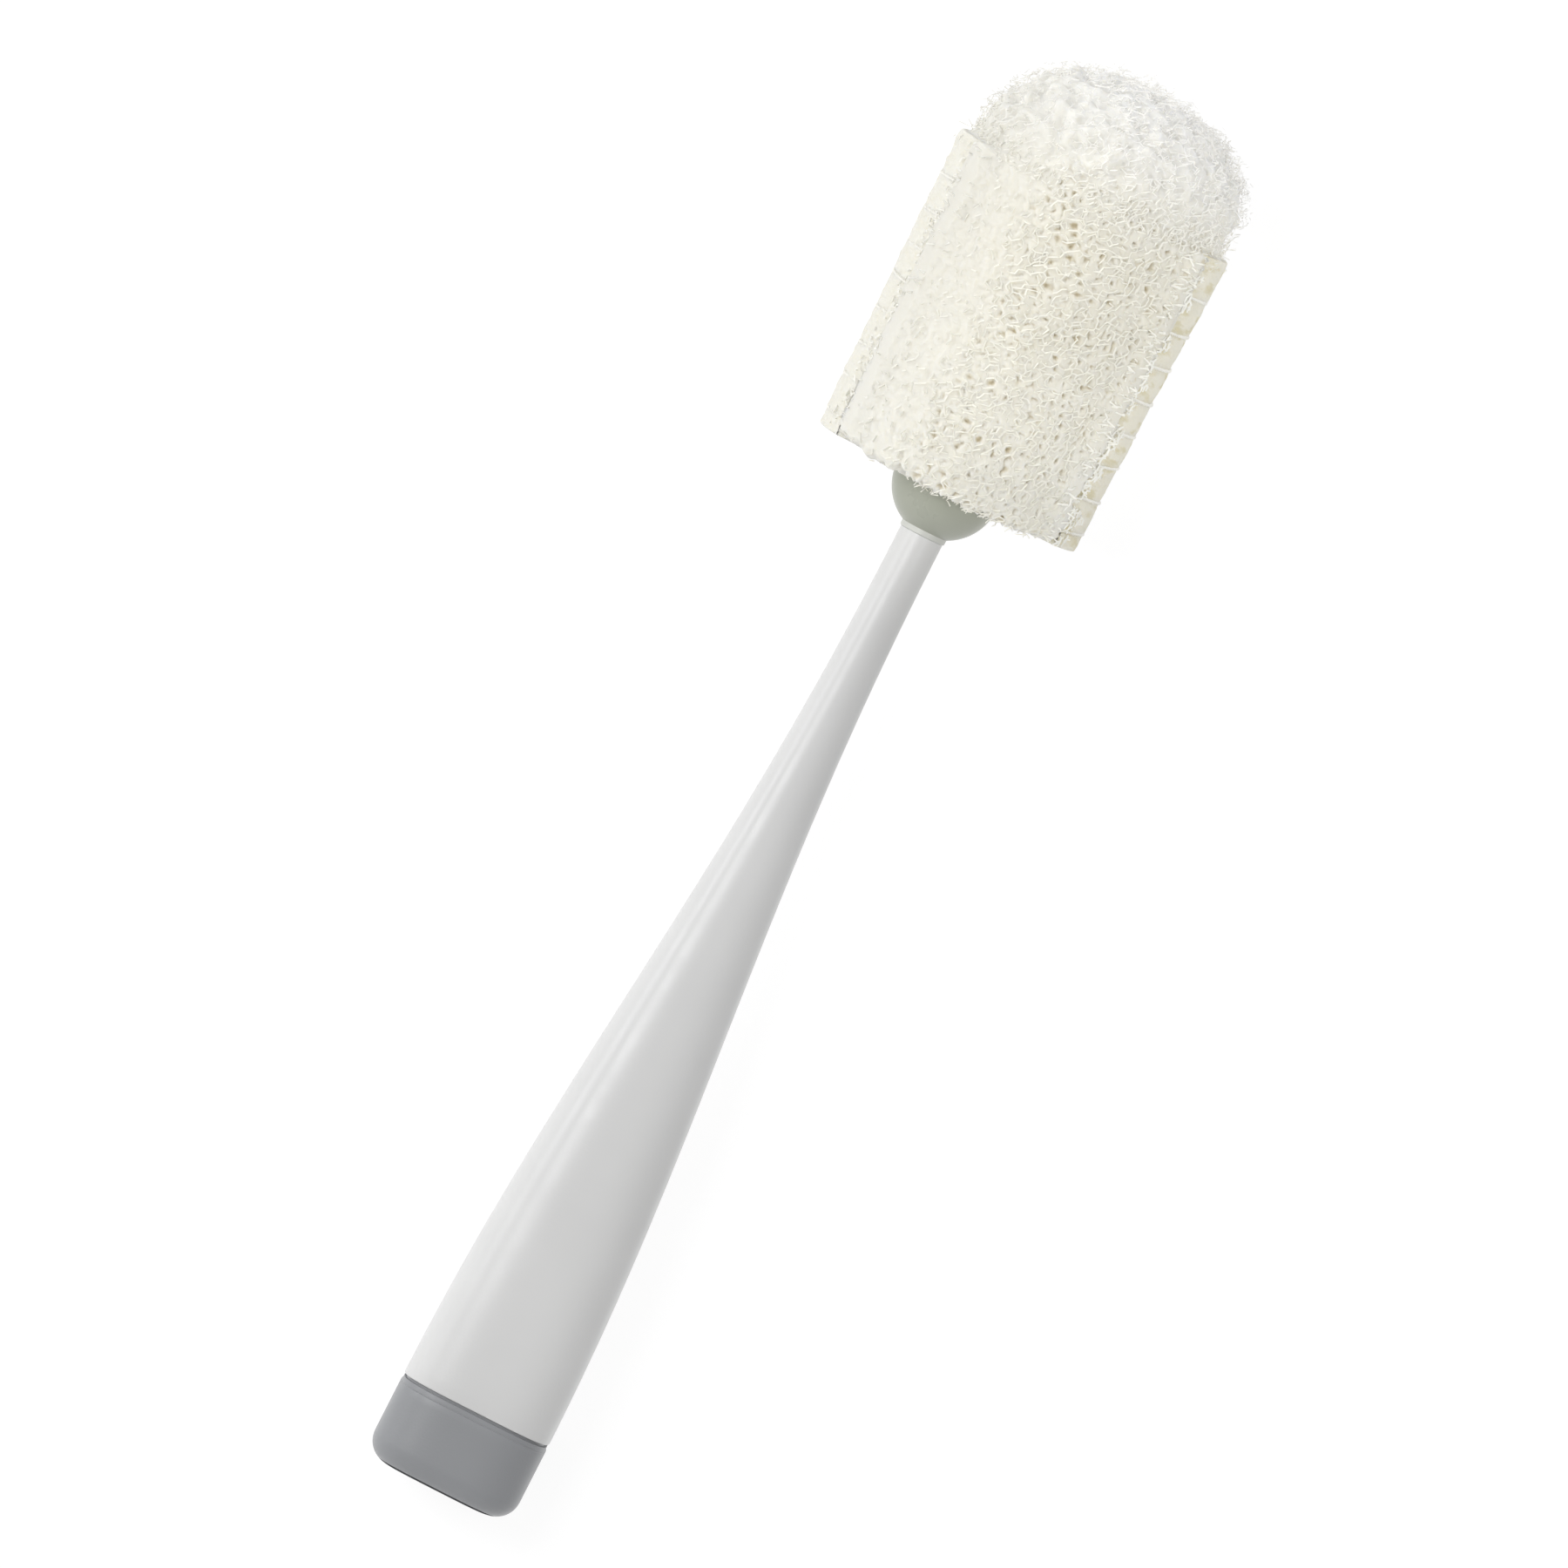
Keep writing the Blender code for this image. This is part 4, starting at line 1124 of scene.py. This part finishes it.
def roughen(mesh):
    places, normals = read_out(mesh.vertices, "co"), read_out(mesh.vertex_normals, "vector")
    height, side = places[:, 2], np.abs(places[:, 1])
    radius = np.hypot(places[:, 0], places[:, 1])
    outside = depth_in_wrap(places) + dents(places) < HEART_INSET + 0.8 * MM
    outside &= (radius > 20 * MM) | (height > FOAM_TOP + 4 * MM)
    on_dome = soft_step(height, FOAM_TOP - 2 * MM, FOAM_TOP + 8 * MM)
    swell_out = lumps(places) / MM - 0.8 * on_dome
    to_foam = foam_radius(height) + 0.15 * MM - radius
    beside_slab = soft_step(FOAM_TOP - height, -0.4 * MM, 0.8 * MM)
    rise = soft_step(side, 19 * MM, 24 * MM) * beside_slab
    swell_out += rise * np.clip(to_foam, 0, 2 * MM) / MM
    swell_out -= dents(places) / MM
    apart = np.full(len(places), 1.0 * MM)
    apart[outside] = from_strands(pad_net, places[outside])
    between = soft_step(apart, 0.35 * MM, 0.92 * MM)
    between = between * (1 - 0.7 * soft_step(apart, 1.1 * MM, 1.7 * MM))
    deep = np.clip(0.5 + 0.6 * waves(places, 1.9 * MM, 64), 0.1, 1.0) ** 1.3
    deep *= (1 - 0.88 * matted(places)) * (1 - 0.85 * on_dome) * (1 - 0.3 * rise)
    sunk = between * deep
    moved = (swell_out + 0.12 * (1 - between) - 1.4 * sunk) * MM * outside
    places += normals * moved[:, None]
    lip = soft_step(side, 21.5 * MM, 24.2 * MM) * beside_slab
    places[:, 1] = spread_over_foam(places, lip)
    lower = np.clip((FOAM_BOTTOM + 3 * MM - places[:, 2]) / (2.5 * MM), 0, 1)
    places[:, 2] -= lower * hang_below(places)
    mesh.vertices.foreach_set("co", places.ravel())
    hollow = mesh.attributes.new("hollow", "FLOAT", "POINT")
    hollow.data.foreach_set("value", sunk * outside)
    share = 100 * float((sunk > 0.5)[outside].mean())
    print("deep hollows on", round(share, 1), "% of the outside")


roughen(heart_mesh)
heart_mesh.transform(LYING)
rest_on_table(heart_mesh)
heart_mesh.shade_smooth()

# %% [markdown]
# The matted fibre is cream on the pads, paler at their lower end and towards the dome, and nearly
# white on the dome's top, which is partly its own colour and partly painted light against the shade
# of its ribs. The left is painted greyer, as painted shade against the stronger light from the left.
# Each tone is laid over the last by a gradient on Object coordinates, and the hollows between
# strands are browner: partly the inner foam's own tint and partly painted shade of the hollows.

# %% Matted fibre
def matted_fibre():
    finish, shader = new_finish("mesh_matted")
    hollow = add_node(finish, "ShaderNodeAttribute", attribute_name="hollow")
    fine = noise(finish, 1.1 * MM, 4.0)
    tone = spread(finish, fine, 0.0, 1.0)
    body = blend_colours(finish, tone, (0.787, 0.764, 0.674), (0.824, 0.805, 0.729))
    tones_with_painted_light = (
        ("X", 0.9, 0.0, 0.068, 0.108, (0.868, 0.854, 0.785)),
        ("X", 0.0, 1.0, 0.128, 0.146, (0.866, 0.858, 0.818)),
        # The dome's top: partly its own paler colour, partly painted light against the shade of its
        # ribs.
        ("X", 0.0, 1.0, 0.147, 0.16, (0.95, 0.946, 0.925)),
        # Painted shade: the left is greyer, against the stronger light from the left.
        ("Y", 0.0, 0.6, 0.004, 0.026, (0.7, 0.69, 0.64)),
    )
    for axis, low, high, start, end, colour in tones_with_painted_light:
        share = along_brush(finish, axis, low, high, start, end)
        body = blend_colours(finish, share, body, colour)
    # Partly the inner foam's own tint and partly painted shade: the hollows turn brown and darker.
    deep = spread(finish, hollow.outputs["Fac"], 0.0, 1.0, 0.15, 0.85)
    body = blend_colours(finish, deep, body, (0.665, 0.595, 0.43))
    relief(finish, shader, fine, 0.13 * MM)
    scatter_inside(finish, shader, body, 0.85, 1.1 * MM)
    return finish


mesh_matted = matted_fibre()
heart = place_piece("matted_wrap", heart_mesh, mesh_matted, "head", "mesh_ivory", "scrub_wrap")

# %% [markdown]
# A thin white thread of two plies ties the edges of the wrap together across the bare foam. It runs
# to and fro as one line, half sunk in the foam where it crosses and deeper on the left, and dives
# under the mesh, where its turns hide. Each ply winds round that line like a corkscrew.

# %% Lacing thread
PLY, TWIST = 0.2 * MM, 1.9 * MM
SUNK_LEFT, SUNK_RIGHT, UNDER_MESH = 0.44 * MM, 0.26 * MM, 1.3 * MM
CROSSING_TURN, DIVE_FROM, DIVE_TURN = 34, 30.5, 3


def thread_line(side):
    """Points a third of a millimetre apart on a side's thread, the way out, and the walk so far."""
    points = []
    for crossing in range(CROSSINGS):
        height = LACING_FIRST + LACING_PITCH * crossing
        way = 1 if crossing % 2 == 0 else -1
        slant = chance.uniform(-0.5, 0.5, 2) * MM
        for step in range(-26, 27):
            angle = way * math.radians(CROSSING_TURN) * step / 26
            bow = slant[0] * step / 26 + slant[1] * math.cos(3 * angle)
            sunk = SUNK_LEFT if side > 0 else SUNK_RIGHT
            dive = min(max((math.degrees(abs(angle)) - DIVE_FROM) / DIVE_TURN, 0.0), 1.0)
            radius = foam_radius(height) - sunk - UNDER_MESH * dive
            across = radius * math.sin(angle)
            points.append((across, side * radius * math.cos(angle), height + bow))
    points = np.array(points)
    stretches = np.linalg.norm(np.diff(points, axis=0), axis=1)
    walked = np.concatenate([[0.0], np.cumsum(stretches)])
    even = np.arange(0, walked[-1], 0.33 * MM)
    line = np.stack([np.interp(even, walked, points[:, way]) for way in range(3)], 1)
    out = line * (1, 1, 0)
    return line, out / np.linalg.norm(out, axis=1)[:, None], even


def lacing_thread(name, side, stands_for):
    line, out, walked = thread_line(side)
    along = np.gradient(line, axis=0)
    along /= np.linalg.norm(along, axis=1)[:, None]
    across = np.cross(along, out)
    plies, pairs = [], []
    for start in (0.0, math.pi):
        turned = (2 * math.pi * walked / TWIST + start)[:, None]
        steps = np.stack([range(len(line) - 1), range(1, len(line))], 1)
        pairs.append(len(line) * len(plies) + steps)
        plies.append(line + 1.0 * PLY * (np.cos(turned) * out + np.sin(turned) * across))
    corners = np.concatenate(plies)
    thickness = np.full(len(corners), PLY)
    mesh = with_bodies(wire_mesh(name, corners, np.concatenate(pairs), thickness), 5)
    mesh.shade_flat()
    place_piece(name, mesh, thread_white, "head", "thread_white", stands_for)


thread_white = mesh_fibre("thread_white", (0.985, 0.975, 0.92), (0.985, 0.975, 0.92), 0.6)
lacing_thread("left_thread", 1, "lacing_thread_left")
lacing_thread("right_thread", -1, "lacing_thread_right")

# %% [markdown]
# The hidden pieces keep their packed form: the spindle, washer and nut in plain plastic, and the
# rings and the seal in dull rubber that is a little dusty. Only the pulled-out head shows any.

# %% Carried-over pieces
rubber, shader = new_finish("ring_rubber")
tone = spread(rubber, noise(rubber, 1.5 * MM, 3.0), 0.0, 1.0)
dusty = blend_colours(rubber, tone, (0.045, 0.045, 0.05), (0.07, 0.07, 0.075))
feed(rubber, shader, {"Base Color": dusty, "Roughness": 0.7})
finishes = {
    "end_cap_seal": rubber,
    "stem_ring_upper": rubber,
    "stem_ring_lower": rubber,
    "core_spindle": spindle_white,
    "top_washer": washer_white,
    "push_nut": washer_white,
}
for name, finish in finishes.items():
    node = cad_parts[name]
    for slot in node.material_slots:
        slot.material = finish
